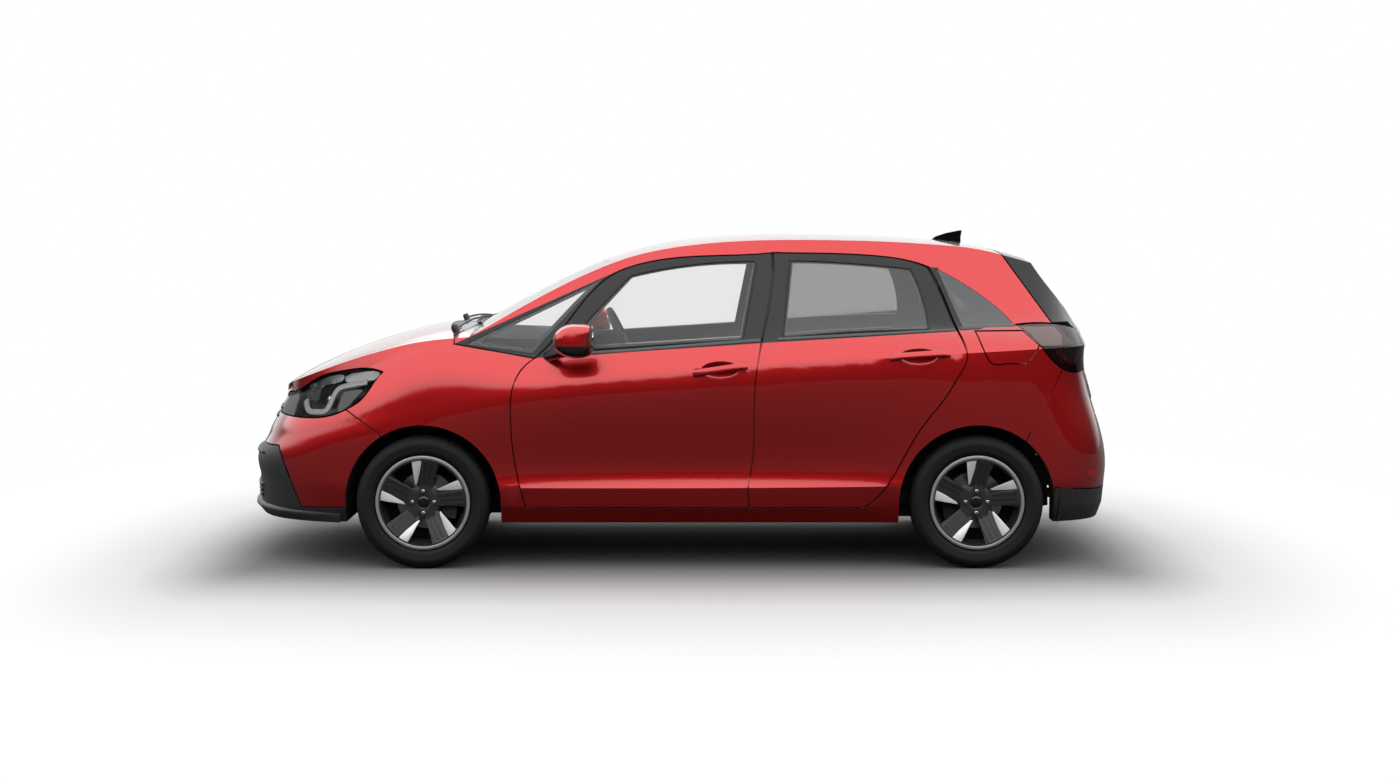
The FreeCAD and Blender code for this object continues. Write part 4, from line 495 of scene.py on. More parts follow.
def repeatTree():  # Geometry Nodes: copies of the input turned about the Y axis
    tree = bpy.data.node_groups.new("repeatRound", "GeometryNodeTree")
    for name, way, kind in (("Geometry", "INPUT", "Geometry"), ("Count", "INPUT", "Int"),
                            ("Finish", "INPUT", "Material"), ("Geometry", "OUTPUT", "Geometry")):
        tree.interface.new_socket(name, in_out=way, socket_type="NodeSocket" + kind)
    start = addNode(tree, "NodeGroupInput")
    line = addNode(tree, "GeometryNodeMeshLine", {"Offset": (0, 0, 0)}, {"Count": start.outputs["Count"]})
    turn = addNode(tree, "ShaderNodeMath", {0: 2 * math.pi}, {1: start.outputs["Count"]}, operation="DIVIDE")
    index = addNode(tree, "GeometryNodeInputIndex")
    angle = addNode(tree, "ShaderNodeMath", links={0: index.outputs[0], 1: turn.outputs[0]},
                    operation="MULTIPLY")
    spin = addNode(tree, "ShaderNodeCombineXYZ", links={"Y": angle.outputs[0]})
    copies = addNode(tree, "GeometryNodeInstanceOnPoints", links={
        "Points": line.outputs[0], "Instance": start.outputs["Geometry"], "Rotation": spin.outputs[0]})
    real = addNode(tree, "GeometryNodeRealizeInstances", links={"Geometry": copies.outputs[0]})
    index = addNode(tree, "GeometryNodeInputMaterialIndex")
    plain = addNode(tree, "FunctionNodeCompare", {3: 0}, {2: index.outputs[0]}, data_type="INT",
                    operation="EQUAL")
    painted = addNode(tree, "GeometryNodeSetMaterial", links={
        "Geometry": real.outputs[0], "Selection": plain.outputs[0], "Material": start.outputs["Finish"]})
    addNode(tree, "NodeGroupOutput", links={"Geometry": painted.outputs[0]})
    return tree


roundTree = repeatTree()


def repeated(piece, count, finish):
    made = piece.modifiers.new("round", "NODES")
    made.node_group = roundTree
    sockets = {item.name: item.identifier for item in roundTree.interface.items_tree
               if item.in_out == "INPUT"}
    made[sockets["Count"]] = count
    made[sockets["Finish"]] = finish
    piece.update_tag()
    applied(piece)
    creaseEdges(piece.data, 35)
    return piece


# Wheels: dished face with five grooved blades, each with a turned wedge beside it; measures in mm

wheelLook = {
    "track": {"front": 0.740, "rear": 0.735}, "blades": 5, "bladeAngle": 80.0, "bladeHalf": 30.0,
    "ridge": 5.5, "groove": 8.0, "nuts": 4, "nutCircle": 50.0, "nutRadius": 9.5, "nutDepths": (-61, -42),
    "dish": ((75, -46.2), (198.5, -76.7)), "valvePlace": (0.85, 0.187, -0.052),
    "bladeRows": [(48, 0, 0.80), (66, 0, 0.92), (76, 0, 0.96), (82, 1, 0.98), (174, 1, 1.10), (181, 0, 1.11),
                  (192, 0, 1.13), (199, 0, 1.15)],
    "wedge": [(202.5, 90.8), (202.5, 104.2), (150.0, 107.4), (100.0, 112.5), (86.0, 115.5), (90.0, 108.5),
              (150.0, 94.4)],
    "base": [(197, 66.5), (197, 103.5), (150, 106.5), (100, 110), (62, 113), (50, 100), (50, 70), (62, 55),
             (100, 62), (150, 66)],
    "barrel": [(216, -82.5), (216, -75), (213, -73.5), (203, -73.5), (203, -40), (189, -22), (189, 12),
               (203, 31), (203, 73.5), (216, 73.5), (216, 82.5), (194, 82.5), (194, 33), (180, 12),
               (180, -20), (194, -44), (194, -82.5)],
    "lip": [(200.5, -82.3), (201.5, -84.6), (204, -85.4), (211, -85.4), (214.5, -84.4), (216, -82.3)],
    "centre": [(0, -44), (29, -44), (30, -49.5), (36, -51), (62, -50), (76, -46.5), (78, -40), (76, -20),
               (72, 7.9), (28, 7.9), (28, -30), (0, -30)],
    "cap": [(0, -50.5), (14, -50.2), (22, -49.3), (25, -47.5), (26.5, -43)],
    "nutSeat": [(11, -44), (12.4, -53), (13.8, -53), (14.6, -44)],
    "hubCore": [(0, -38), (10.8, -38), (10.8, 0)],
    "valve": [(0, -14), (3.2, -14), (3.2, 10), (4, 10), (4, 16), (0, 16)]}


def dishY(radius):  # depth of the wheel's face at a radius
    (inner, high), (outer, low) = wheelLook["dish"]
    return high - max(radius - inner, 0) * (high - low) / (outer - inner)


def bladePiece():
    half, ridge, groove = wheelLook["bladeHalf"], wheelLook["ridge"], wheelLook["groove"]
    turn = math.radians(wheelLook["bladeAngle"])
    outward = Vector((math.cos(turn), 0, math.sin(turn)))
    sideways = Vector((-math.sin(turn), 0, math.cos(turn)))
    points = []
    for reach, depth, widen in wheelLook["bladeRows"]:
        low = ridge - groove * depth
        section = symmetric([(-1.0, -14), (-1.0, ridge - 2), (-0.93, ridge), (-0.60, ridge), (-0.54, low),
                             (-0.22, low), (-0.16, ridge)])
        points += [(outward * reach + sideways * (v * half * widen) + Vector((0, dishY(reach) - h, 0))) * mm
                   for v, h in section]
    faces = caps(len(points), len(section)) + bands(len(wheelLook["bladeRows"]), len(section))
    piece = meshPiece("blade", points, faces, wheelGrey, 25)
    piece.data.materials.append(sealRubber)  # the groove floors are darker
    for face in piece.data.polygons:
        reach = Vector((face.center.x, 0, face.center.z)).dot(outward) / mm
        height = dishY(reach) - face.center.y / mm
        if 80 < reach < 176 and -10 < height < ridge - groove * 0.5 and abs(face.normal.y) > 0.6:
            face.material_index = 1
    return piece


def polarPlate(name, rise, thickness, finish):  # a plate on the dished face, its outline in polar points
    outline = [(radius, math.radians(degrees)) for radius, degrees in wheelLook[name]]
    points = [Vector((radius * math.cos(turn), dishY(radius) - depth, radius * math.sin(turn))) * mm
              for depth in (rise, rise - thickness) for radius, turn in outline]
    count = len(outline)
    return meshPiece(name, points, caps(len(points), count) + bands(2, count), finish, 25)


def wheelLathe(name, finish, steps, closed=True):
    return lathe(name, [(r * mm, y * mm) for r, y in wheelLook[name]], finish, steps, closed)


def wheelPiece():
    blades, nuts = wheelLook["blades"], wheelLook["nuts"]
    barrel = wheelLathe("barrel", wheelGrey, 96)
    lip = wheelLathe("lip", rimMetal, 120)
    blade = repeated(bladePiece(), blades, wheelGrey)
    base = repeated(polarPlate("base", -1.0, 13, wheelGrey), blades, wheelGrey)
    wedge = repeated(bevelled(polarPlate("wedge", 4.2, 6.0, turnedMetal), 0.0008), blades, turnedMetal)
    centre = wheelLathe("centre", wheelGrey, 64, False)
    cap = wheelLathe("cap", pianoBlack, 48, False)
    circle, size = wheelLook["nutCircle"], wheelLook["nutRadius"]
    turns = [math.radians(30 + 60 * i) for i in range(6)]
    hexagon = [((circle + size * math.cos(t)) * mm, size * math.sin(t) * mm) for t in turns]
    low, high = wheelLook["nutDepths"]
    nut = repeated(bevelled(prism("nut", hexagon, low * mm, high * mm, chrome), 0.0022, 3), nuts, chrome)
    seat = placed(wheelLathe("nutSeat", wheelGrey, 32), Matrix.Translation((circle * mm, 0, 0)))
    seat = repeated(seat, nuts, wheelGrey)
    hubCore = wheelLathe("hubCore", castIron, 24, False)
    turn, reach, depth = wheelLook["valvePlace"]
    valve = placed(wheelLathe("valve", sealRubber, 16, False),
                   Matrix.Translation((math.cos(turn) * reach, depth, math.sin(turn) * reach)))
    return joined("wheelMaster", [barrel, lip, base, blade, wedge, centre, cap, nut, seat, hubCore, valve])


# Tyres: a carcass and a repeated pitch of tread; the rows give each block's two edges as depth and radius
tyreLook = {
    "pitches": 62, "treadBase": 298.0, "slant": 5.0, "gap": 0.43,
    "rows": [(-79, 294.5, -57, 302.6), (-50.5, 303.6, -21.5, 304.6), (-14.5, 304.9, 14.5, 304.9),
             (21.5, 304.6, 50.5, 303.6), (57, 302.6, 79, 294.5)],
    "wall": [(203.6, 60), (203.6, 68.2), (210, 71.0), (216.6, 71.3), (219, 75.5), (223.6, 81.2), (229, 85.0),
             (236, 88.4), (237, 89.4), (239, 89.8), (240, 89.2), (249, 91.6), (262, 92.2), (263, 92.4),
             (268, 92.3), (269, 91.2), (281, 88.6), (282.5, 87.4), (291, 82.0), (295, 78.0), (297.4, 70.0),
             (298.0, 50.0)]}


def treadPitch():  # one pitch of the tread: five blocks with slanted gaps between
    pitch, base, gap = 2 * math.pi / tyreLook["pitches"], tyreLook["treadBase"], tyreLook["gap"]
    points, faces = [], []
    for low, lowTop, high, highTop in tyreLook["rows"]:
        start = len(points)
        for across, top in ((low, lowTop), ((low + high) / 2, max(lowTop, highTop) - 0.1), (high, highTop)):
            shift = math.radians(tyreLook["slant"] * abs(across) / 60)
            for edge in (-gap, gap):
                turn = shift + edge * pitch
                for radius in (min(base, top) - 8, top):
                    points.append((radius * mm * math.cos(turn), across * mm, radius * mm * math.sin(turn)))
        for a in (start, start + 4):
            faces += [(a, a + 1, a + 5, a + 4), (a + 1, a + 3, a + 7, a + 5), (a + 3, a + 2, a + 6, a + 7)]
        faces += [(start, start + 2, start + 3, start + 1), (start + 8, start + 9, start + 11, start + 10)]
    return meshPiece("tread", points, faces, rubber, 20)


def tyrePiece():
    wall = [(r * mm, y * mm) for r, y in tyreLook["wall"]]
    carcass = lathe("carcass", wall + [(r, -y) for r, y in reversed(wall)], rubber, 120, smooth=28)
    return joined("tyreMaster", [carcass, repeated(treadPitch(), tyreLook["pitches"], rubber)])


wheelMaster = wheelPiece()
tyreMaster = tyrePiece()
for end, axleX, side, sign in corners:
    move = Matrix.Translation((axleX, sign * wheelLook["track"][end], axleHeight))
    if sign > 0:
        move = move @ Matrix.Rotation(math.pi, 4, "Z")
    for kind, master in (("wheel", wheelMaster), ("tyre", tyreMaster)):
        name = "%s_%s_%s" % (end, side, kind)
        piece = twin(master, name + "_look", move)
        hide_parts(name)
        onBody(piece, name)
bpy.data.objects.remove(wheelMaster)
bpy.data.objects.remove(tyreMaster)
print("wheels made")


# Lines laid on the skin: points of the side view (x, z) thrown onto the outer surface from the left

def trees(*names):
    made = []
    for name in names:
        bm = bmesh.new()
        bm.from_mesh(nodes[name].data)
        made.append(BVHTree.FromBMesh(bm))
        bm.free()
    return made


outerSkin = trees("front_left_door", "rear_left_door", "front_left_door_glass", "rear_left_door_glass",
                  "fixed_side_glass", "body_sides", "fenders", "front_bumper", "rear_bumper", "bonnet",
                  "left_side_frame", "roof_panel", "tailgate", "tail_lamps", "headlamps", "front_grilles",
                  "rear_valance", "fuel_lid")


def cast(start, along, skin, reach=1.4):  # where a ray meets the skin first, and the normal on its near side
    best = None
    for tree in skin:
        hit = tree.ray_cast(start, along, reach)
        if hit[0] is not None and (best is None or hit[3] < best[2]):
            best = (hit[0], hit[1] if hit[1].dot(along) < 0 else -hit[1], hit[3])
    return best[:2] if best else None


def thrown(x, z, skin=outerSkin):  # from the left
    return cast(Vector((x, -1.6, z)), Vector((0, 1, 0)), skin)


def dropped(x, y, skin):  # from above
    return cast(Vector((x, y, 2.0)), Vector((0, 0, -1)), skin, 1.9)


def faced(y, z, skin):  # from the front
    return cast(Vector((-2.6, y, z)), Vector((1, 0, 0)), skin, 1.8)


def backed(y, z, skin=outerSkin):  # from the rear
    return cast(Vector((2.6, y, z)), Vector((-1, 0, 0)), skin, 1.8)


def alongPath(points, step):  # even points on a polyline of tuples
    places = [Vector(p) for p in points]
    out = [places[0]]
    for a, b in zip(places, places[1:]):
        count = max(1, int((b - a).length / step + 0.5))
        out += [a + (b - a) * (i + 1) / count for i in range(count)]
    return out


def rounded(points, rounds, closed):  # corner cutting makes a smooth line of a coarse one
    for _ in range(rounds):
        out = [] if closed else [points[0]]
        pairs = list(zip(points, points[1:] + points[:1])) if closed else list(zip(points, points[1:]))
        for a, b in pairs:
            a, b = Vector(a), Vector(b)
            out += [tuple(a.lerp(b, 0.25)), tuple(a.lerp(b, 0.75))]
        points = out if closed else out + [points[-1]]
    return points


def strip(name, spine, normals, profile, finish, closed=False):
    # sweeps a profile of (across, out) along a line that lies on the skin
    points = []
    count, size = len(spine), len(profile)
    for i, (p, n) in enumerate(zip(spine, normals)):
        before = spine[(i - 1) % count] if closed or i else p
        after = spine[(i + 1) % count] if closed or i < count - 1 else p
        across = (after - before).normalized().cross(n).normalized()
        points += [p + across * a + n * b for a, b in profile]
    faces = bands(count, size, closed=closed) + ([] if closed else caps(len(points), size))
    return meshPiece(name, points, faces, finish, 50)


def laid(places, throw, skin):  # where lines through the places meet the skin: spots and normals
    hits = [hit for hit in (throw(place[0], place[1], skin) for place in places) if hit]
    return [spot for spot, _ in hits], [normal for _, normal in hits]


def lifted(spine, normals, lift):
    return [p + n * lift for p, n in zip(spine, normals)]


def evened(values):  # each value drawn a little towards its neighbours
    return [(values[max(i - 1, 0)] + value * 2 + values[min(i + 1, len(values) - 1)]) / 4
            for i, value in enumerate(values)]


def sideStrip(name, path, profile, finish, step, closed=False, skin=outerSkin, smoothing=2, throw=thrown):
    # a path of two coordinates is thrown onto the skin and swept; corners are cut within 50 mm of them
    coarse = [tuple(p) for p in alongPath(list(path) + ([path[0]] if closed else []), 0.05)]
    line = rounded(coarse[:-1] if closed else coarse, smoothing, closed)
    places = alongPath(line + ([line[0]] if closed else []), step)
    spine, normals = laid(places[:-1] if closed else places, throw, skin)
    for _ in range(2):  # even out the normals where panels meet
        normals = [n.normalized() for n in evened(normals)]
    return strip(name, spine, normals, profile, finish, closed)


def bothSides(piece, node):  # adds the mirror image on the right and hangs both on their bodies
    base = piece.name
    piece.name = base + "_left"
    onBody(piece, node)
    onBody(twin(piece, base + "_right", Matrix.Diagonal((1, -1, 1, 1))), node.replace("left", "right"))


def halfRound(width, height):  # a moulding's section: low dome on the skin
    half = width / 2
    return symmetric([(-half, -0.002), (-half, height * 0.55), (-half * 0.6, height)])


def flatBar(width, top, bottom):  # a strip's section between two depths under or over the skin
    half = width / 2
    return symmetric([(-half, bottom), (-half, top - 0.001), (-half + 0.001, top)])


# Window surrounds: a seal follows the edge of each opening, found where the door hides its glass

sealLook = {"width": 0.010, "height": 0.004, "inset": 0.004, "points": 200, "reach": 0.8, "halvings": 13,
            "centres": {"front_left_door": (0.030, 1.200), "rear_left_door": (0.800, 1.220)}}


def openingLine(centre, door, pane):
    line = []
    for i in range(sealLook["points"]):
        turn = 2 * math.pi * i / sealLook["points"]
        low, high = 0.0, sealLook["reach"]
        for _ in range(sealLook["halvings"]):
            middle = (low + high) / 2
            x, z = centre[0] + math.cos(turn) * middle, centre[1] + math.sin(turn) * middle
            glass, metal = thrown(x, z, pane), thrown(x, z, door)
            if glass and (metal is None or metal[0].y > glass[0].y):
                low = middle
            else:
                high = middle
        reach = low - sealLook["inset"]
        line.append((centre[0] + math.cos(turn) * reach, centre[1] + math.sin(turn) * reach))
    return line


def patch(name, outline, lift, thickness, finish, skin=outerSkin, step=0.02, rounds=1):
    # a thin shell over a polygon of the side view, laid on the skin, or behind it where lift is below nought
    line = rounded([tuple(p) for p in outline], rounds, True)
    bm = bmesh.new()
    bm.faces.new([bm.verts.new((x, 0, z)) for x, z in line])
    bmesh.ops.triangulate(bm, faces=bm.faces[:])
    for axis, cut in ((0, Vector((1, 0, 0))), (2, Vector((0, 0, 1)))):
        places = [v.co[axis] for v in bm.verts]
        low, high = min(places), max(places)
        count = int((high - low) / step)
        for i in range(1, count + 1):
            bmesh.ops.bisect_plane(bm, geom=bm.verts[:] + bm.edges[:] + bm.faces[:], dist=1e-6,
                                   plane_co=cut * (low + (high - low) * i / (count + 1)), plane_no=cut)
    bm.verts.index_update()
    verts = bm.verts[:]
    hits = [thrown(v.co.x, v.co.z, skin) for v in verts]
    known = [i for i, hit in enumerate(hits) if hit]
    for i, v in enumerate(verts):
        if hits[i] is None:
            near = min(known, key=lambda j: (verts[j].co - v.co).length)
            hits[i] = (Vector((v.co.x, hits[near][0].y, v.co.z)), hits[near][1])
    normals = []
    for v in verts:
        around = [hits[e.other_vert(v).index][1] for e in v.link_edges]
        normals.append((sum(around, hits[v.index][1] * 2)).normalized())
    size = len(verts)
    points = [hit[0] + n * lift for hit, n in zip(hits, normals)]
    points += [hit[0] + n * (lift - thickness) for hit, n in zip(hits, normals)]
    faces = [tuple(v.index for v in f.verts) for f in bm.faces]
    faces += [tuple(size + v.index for v in reversed(f.verts)) for f in bm.faces]
    faces += [(e.verts[0].index, e.verts[1].index, e.verts[1].index + size, e.verts[0].index + size)
              for e in bm.edges if len(e.link_faces) == 1]
    bm.free()
    return meshPiece(name, points, faces, finish, 40)


# Headlamps: clear lens over a dark housing with its light guide, reflectors and projector

lampSkin = trees("headlamps")
lampLook = {
    "guide": [(-1.734, 0.764), (-1.722, 0.728), (-1.703, 0.715), (-1.660, 0.716), (-1.628, 0.717),
              (-1.611, 0.738), (-1.590, 0.790), (-1.572, 0.822), (-1.540, 0.835), (-1.488, 0.844),
              (-1.428, 0.857)],
    "guideWidth": 0.026,
    "reflector": [(-1.746, 0.777), (-1.744, 0.811), (-1.735, 0.827), (-1.630, 0.872), (-1.550, 0.888),
                  (-1.544, 0.862), (-1.597, 0.846), (-1.662, 0.826), (-1.665, 0.799), (-1.672, 0.768),
                  (-1.708, 0.768)],
    "rearPanel": [(-1.539, 0.882), (-1.415, 0.909), (-1.361, 0.900), (-1.392, 0.866), (-1.426, 0.863),
                  (-1.489, 0.855), (-1.537, 0.851)],
    "cornerPanel": [(-1.544, 0.812), (-1.528, 0.815), (-1.445, 0.827), (-1.464, 0.805), (-1.538, 0.726),
                    (-1.575, 0.722)],
    "panelThickness": 0.003, "nose": ((-1.772, 0, 0.75), (1, 0, -0.18)),
    "projector": (-1.640, 0.780), "projectorDepth": 0.040, "projectorShift": (0.006, 0, 0),
    "projectorFacing": (-0.93, -0.36, 0.02),
    "lens": [(0, -0.016), (0.010, -0.0145), (0.018, -0.0105), (0.023, -0.005), (0.0245, 0.0), (0, 0.0)],
    "bezel": [(0.0245, -0.002), (0.027, -0.005), (0.032, -0.005), (0.034, 0.0), (0.030, 0.022),
              (0.0245, 0.022)]}


def lampFace(centre, normal):
    if outLook(centre, normal) < 0.12:
        return 1
    return 0 if beyond(centre, lampLook["nose"]) else 2


def turnedTo(piece, place, normal):  # a lathe made about Y is set at a place and faces along a direction
    turn = Vector((0, -1, 0)).rotation_difference(normal).to_matrix().to_4x4()
    return placed(piece, Matrix.Translation(place) @ turn)


dress("headlamps", [lampGlass, lampHousing, darkPlastic], lampFace, [lampLook["nose"]])
bothSides(sideStrip("light_guide", lampLook["guide"], flatBar(lampLook["guideWidth"], -0.006, -0.016),
                    guideWhite, 0.012, skin=lampSkin), "headlamps")
for part, key, finish, depth in (("lamp_reflector", "reflector", lampSilver, -0.016),
                                 ("lamp_upper_panel", "rearPanel", guideWhite, -0.010),
                                 ("lamp_corner_panel", "cornerPanel", pianoBlack, -0.014)):
    bothSides(patch(part, lampLook[key], depth, lampLook["panelThickness"], finish, lampSkin), "headlamps")
spot, normal = thrown(*lampLook["projector"], lampSkin)
projector = joined("lamp_projector", [lathe("lens", lampLook["lens"], lensGlass, 40, closed=False),
                                      lathe("bezel", lampLook["bezel"], chrome, 40)])
turnedTo(projector, spot - normal * lampLook["projectorDepth"] + Vector(lampLook["projectorShift"]),
         Vector(lampLook["projectorFacing"]).normalized())
bothSides(projector, "headlamps")

# Tail lamps: smoked upper part, dark red lower part with a brighter U of light guides

tailSkin = trees("tail_lamps")
tailLook = {
    "upper": [(1.552, 1.108), (1.560, 1.113), (1.730, 1.110), (1.764, 1.070), (1.754, 1.026), (1.652, 1.026)],
    "guide": [(1.742, 1.004), (1.768, 0.955), (1.790, 0.934), (1.822, 0.932), (1.838, 0.950), (1.843, 1.004)],
    "blade": [(1.716, 1.004), (1.752, 0.935)], "split": 1.021, "slope": ((1.775, 0, 1.07), (1, 0, 0.8)),
    "guideDepths": (-0.005, -0.012)}


def tailFace(centre, normal):
    if outLook(centre, normal) < 0.10 and normal.x < 0.25:
        return 2
    return 0 if centre.z > tailLook["split"] and not beyond(centre, tailLook["slope"]) else 1


dress("tail_lamps", [smokedLens, redLens, lampHousing], tailFace,
      [level(tailLook["split"]), tailLook["slope"]])
bothSides(patch("tail_upper_reflector", tailLook["upper"], -0.010, 0.003, tailSilver, tailSkin, rounds=0),
          "tail_lamps")
for part, width, smoothing in (("guide", 0.016, 2), ("blade", 0.012, 0)):
    bothSides(sideStrip("tail_light_" + part, tailLook[part], flatBar(width, *tailLook["guideDepths"]),
                        tailRed, 0.010, skin=tailSkin, smoothing=smoothing), "tail_lamps")
print("lamps made")

# Window seals and belt mouldings

for door, centre in sealLook["centres"].items():
    pane = trees(door + "_glass")
    line = openingLine(centre, trees(door), pane)
    bothSides(sideStrip(door[:-10] + "_pane_seal", line, halfRound(sealLook["width"], sealLook["height"]),
                        sealRubber, 0.012, closed=True, skin=pane, smoothing=1), door)
belts = {"front_left_door": [(-0.560, 0.9725), (-0.361, 0.9890), (0.274, 1.0380), (0.418, 1.0475)],
         "rear_left_door": [(0.450, 1.0500), (0.824, 1.0690), (1.255, 1.0905)]}
for door, path in belts.items():
    bothSides(sideStrip(door[:-10] + "_belt_moulding", path, halfRound(0.017, 0.0045), beltPlastic, 0.03,
                        skin=trees(door, door + "_glass"), smoothing=0), door)
bothSides(sideStrip("quarter_foot_moulding", [(1.282, 1.0955), (1.400, 1.101), (1.530, 1.105)],
                    halfRound(0.018, 0.004), beltPlastic, 0.03, smoothing=0), "body_sides")

# Door handles: a rounded bar over each hollow, held at its ends

handleLook = {"front": ((0.062, 0.896), (0.309, 0.931)), "rear": ((0.954, 0.968), (1.229, 0.986)),
              "rise": 0.016, "steps": 24, "half": 0.0165}
half = handleLook["half"]
handleSection = symmetric([(-half * 0.80, -0.007), (-half, -0.001), (-half * 0.85, 0.005),
                           (-half * 0.4, 0.0075)])
for end in axles:
    door = end + "_left_door"
    first, last = (thrown(*place, trees(door)) for place in handleLook[end])
    spine, normals = [], []
    for i in range(handleLook["steps"] + 1):
        share = i / handleLook["steps"]
        rise = handleLook["rise"] * (1 - abs(2 * share - 1) ** 6)
        normals.append(first[1].lerp(last[1], share).normalized())
        spine.append(first[0].lerp(last[0], share) + normals[-1] * rise)
    bothSides(strip(end + "_door_handle", spine, normals, handleSection, redPaint), door)
print("seals and handles made")

# Mirrors: silvered glass at the back of each cap

mirrorLook = {"across": 0.905, "height": 1.052, "half": (0.068, 0.043), "corner": 0.55, "steps": 40,
              "depths": (0.012, 0.0020)}


def squared(value):  # a sine or cosine drawn out towards a rounded rectangle
    return math.copysign(abs(value) ** mirrorLook["corner"], value)


across, up = mirrorLook["half"]
turns = [2 * math.pi * i / mirrorLook["steps"] for i in range(mirrorLook["steps"])]
rim = [(squared(math.cos(t)) * across, squared(math.sin(t)) * up) for t in turns]
for side, sign in sides:
    low, high = (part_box(side + "_mirror")[1].x - depth for depth in mirrorLook["depths"])
    outline = [(sign * mirrorLook["across"] + a, mirrorLook["height"] + b) for a, b in rim]
    onBody(prism(side + "_mirror_glass", outline, low, high, mirrorSilver, "X"), side + "_mirror")

# Front wipers: arm, pivot and rubber blade of each, lying at the foot of the windscreen

screenSkin = trees("windscreen", "cowl")
wiperLook = {
    "pairs": [((-0.555, -1.040), (-0.455, 0.175)), ((-0.020, -1.055), (0.080, 0.560))],
    "bladeX": -0.978, "bow": 0.085, "bladeLift": 0.007, "armLift": 0.014, "armRise": 0.006,
    "blade": symmetric([(-0.0045, -0.006), (-0.006, 0.004), (-0.003, 0.010)]),
    "arm": symmetric([(-0.007, -0.003), (-0.007, 0.003), (-0.003, 0.006)]),
    "pivot": [(0, -0.020), (0.010, -0.020), (0.014, -0.014), (0.014, 0.012), (0, 0.012)],
    "pivotFacing": (-0.35, 0, 0.94), "bladeSteps": 24, "armSteps": 14}


def screenX(y):  # the blade follows the bowed foot of the windscreen
    return wiperLook["bladeX"] + wiperLook["bow"] * (y / 0.6) ** 2


def draped(points, lift, skin):  # a line dropped on the glass
    spine, normals = laid(points, dropped, skin)
    return lifted(spine, normals, lift), normals


for index, ((pivotY, pivotX), (startY, endY)) in enumerate(wiperLook["pairs"]):
    steps = wiperLook["bladeSteps"]
    ys = [startY + (endY - startY) * i / steps for i in range(steps + 1)]
    spine, normals = draped([(screenX(y), y) for y in ys], wiperLook["bladeLift"], screenSkin)
    blade = strip("blade", spine, normals, wiperLook["blade"], sealRubber)
    middleY = (startY + endY) / 2
    steps = wiperLook["armSteps"]
    armLine = [(pivotX + (screenX(middleY) - pivotX) * i / steps, pivotY + (middleY - pivotY) * i / steps)
               for i in range(steps + 1)]
    spine, normals = draped(armLine, wiperLook["armLift"], screenSkin)
    spine = [p + Vector((0, 0, wiperLook["armRise"] * math.sin(math.pi * min(1, i / steps))))
             for i, p in enumerate(spine)]
    arm = strip("arm", spine, normals, wiperLook["arm"], darkPlastic)
    knob = lathe("pivot", wiperLook["pivot"], darkPlastic, 24, closed=False)
    turnedTo(knob, spine[0], Vector(wiperLook["pivotFacing"]).normalized())
    onBody(joined("front_wiper_%d" % (index + 1), [blade, arm, knob]), "cowl")
print("wipers made")

# Wheel arch liners: moulded shells that close the arches behind the tyres

linerLook = {"radius": 0.384, "wall": 0.003, "inside": 0.560, "outside": {"front": 0.776, "rear": 0.788},
             "turns": {"front": (-8, 186), "rear": (-14, 188)}, "steps": 48, "ripple": 0.0015}
for end, axleX, side, sign in corners:
    first, last = (math.radians(a) for a in linerLook["turns"][end])
    inner, outer = linerLook["inside"], linerLook["outside"][end]
    points = []
    for i in range(linerLook["steps"] + 1):
        turn = first + (last - first) * i / linerLook["steps"]
        ripple = linerLook["ripple"] * math.sin(i * 1.7)
        for radius, y in ((0, inner), (0, outer), (linerLook["wall"], outer), (linerLook["wall"], inner)):
            reach = linerLook["radius"] + radius + ripple
            points.append((axleX + reach * math.cos(turn), sign * y, axleHeight + reach * math.sin(turn)))
    faces = bands(linerLook["steps"] + 1, 4) + caps(len(points), 4)
    onBody(meshPiece("%s_%s_arch_liner" % (end, side), points, faces, underCoat, 50), "floor_pan")

# Arch walls: pressed panels standing lengthways inside the arches, as an outline and a distance in y

wallLook = {
    "rear": ([(0.985, 0.235), (1.000, 0.440), (1.120, 0.600), (1.360, 0.680), (1.600, 0.600), (1.715, 0.420),
              (1.722, 0.262), (1.560, 0.230), (1.180, 0.220)], 0.566),
    "front": ([(-1.550, 0.240), (-1.540, 0.440), (-1.400, 0.600), (-1.170, 0.660), (-0.940, 0.600),
               (-0.810, 0.440), (-0.800, 0.230), (-1.000, 0.205), (-1.340, 0.205)], 0.458), "half": 0.0015}
for end in ("rear", "front"):
    outline, y = wallLook[end]
    for side, sign in sides:
        wall = prism("%s_%s_arch_wall" % (end, side), outline, sign * y - wallLook["half"],
                     sign * y + wallLook["half"], underCoat)
        onBody(bevelled(wall, 0.0006, 1), "floor_pan")

# Dust shields: pressed plates behind the brake discs

shieldLook = {"inner": 0.058, "outer": 0.204, "front": 0.646, "rear": 0.641}
inner, outer = shieldLook["inner"], shieldLook["outer"]
shieldLook["section"] = [
    (inner, 0.000), (inner + 0.02, -0.004), (outer - 0.015, -0.004), (outer, 0.002), (outer, 0.0035),
    (outer - 0.016, -0.0025), (inner + 0.02, -0.0025), (inner, 0.0015)]
for end, axleX, side, sign in corners:
    plate = lathe("%s_%s_dust_shield" % (end, side), shieldLook["section"], underCoat, 72)
    turn = Matrix.Rotation(math.pi if sign > 0 else 0, 4, "Z")
    placed(plate, Matrix.Translation((axleX, sign * shieldLook[end], axleHeight)) @ turn)
    onBody(plate, side + "_knuckle" if end == "front" else "rear_axle_beam")

# Splitter lip round the foot of the front bumper: thick at the nose, thin along the sides

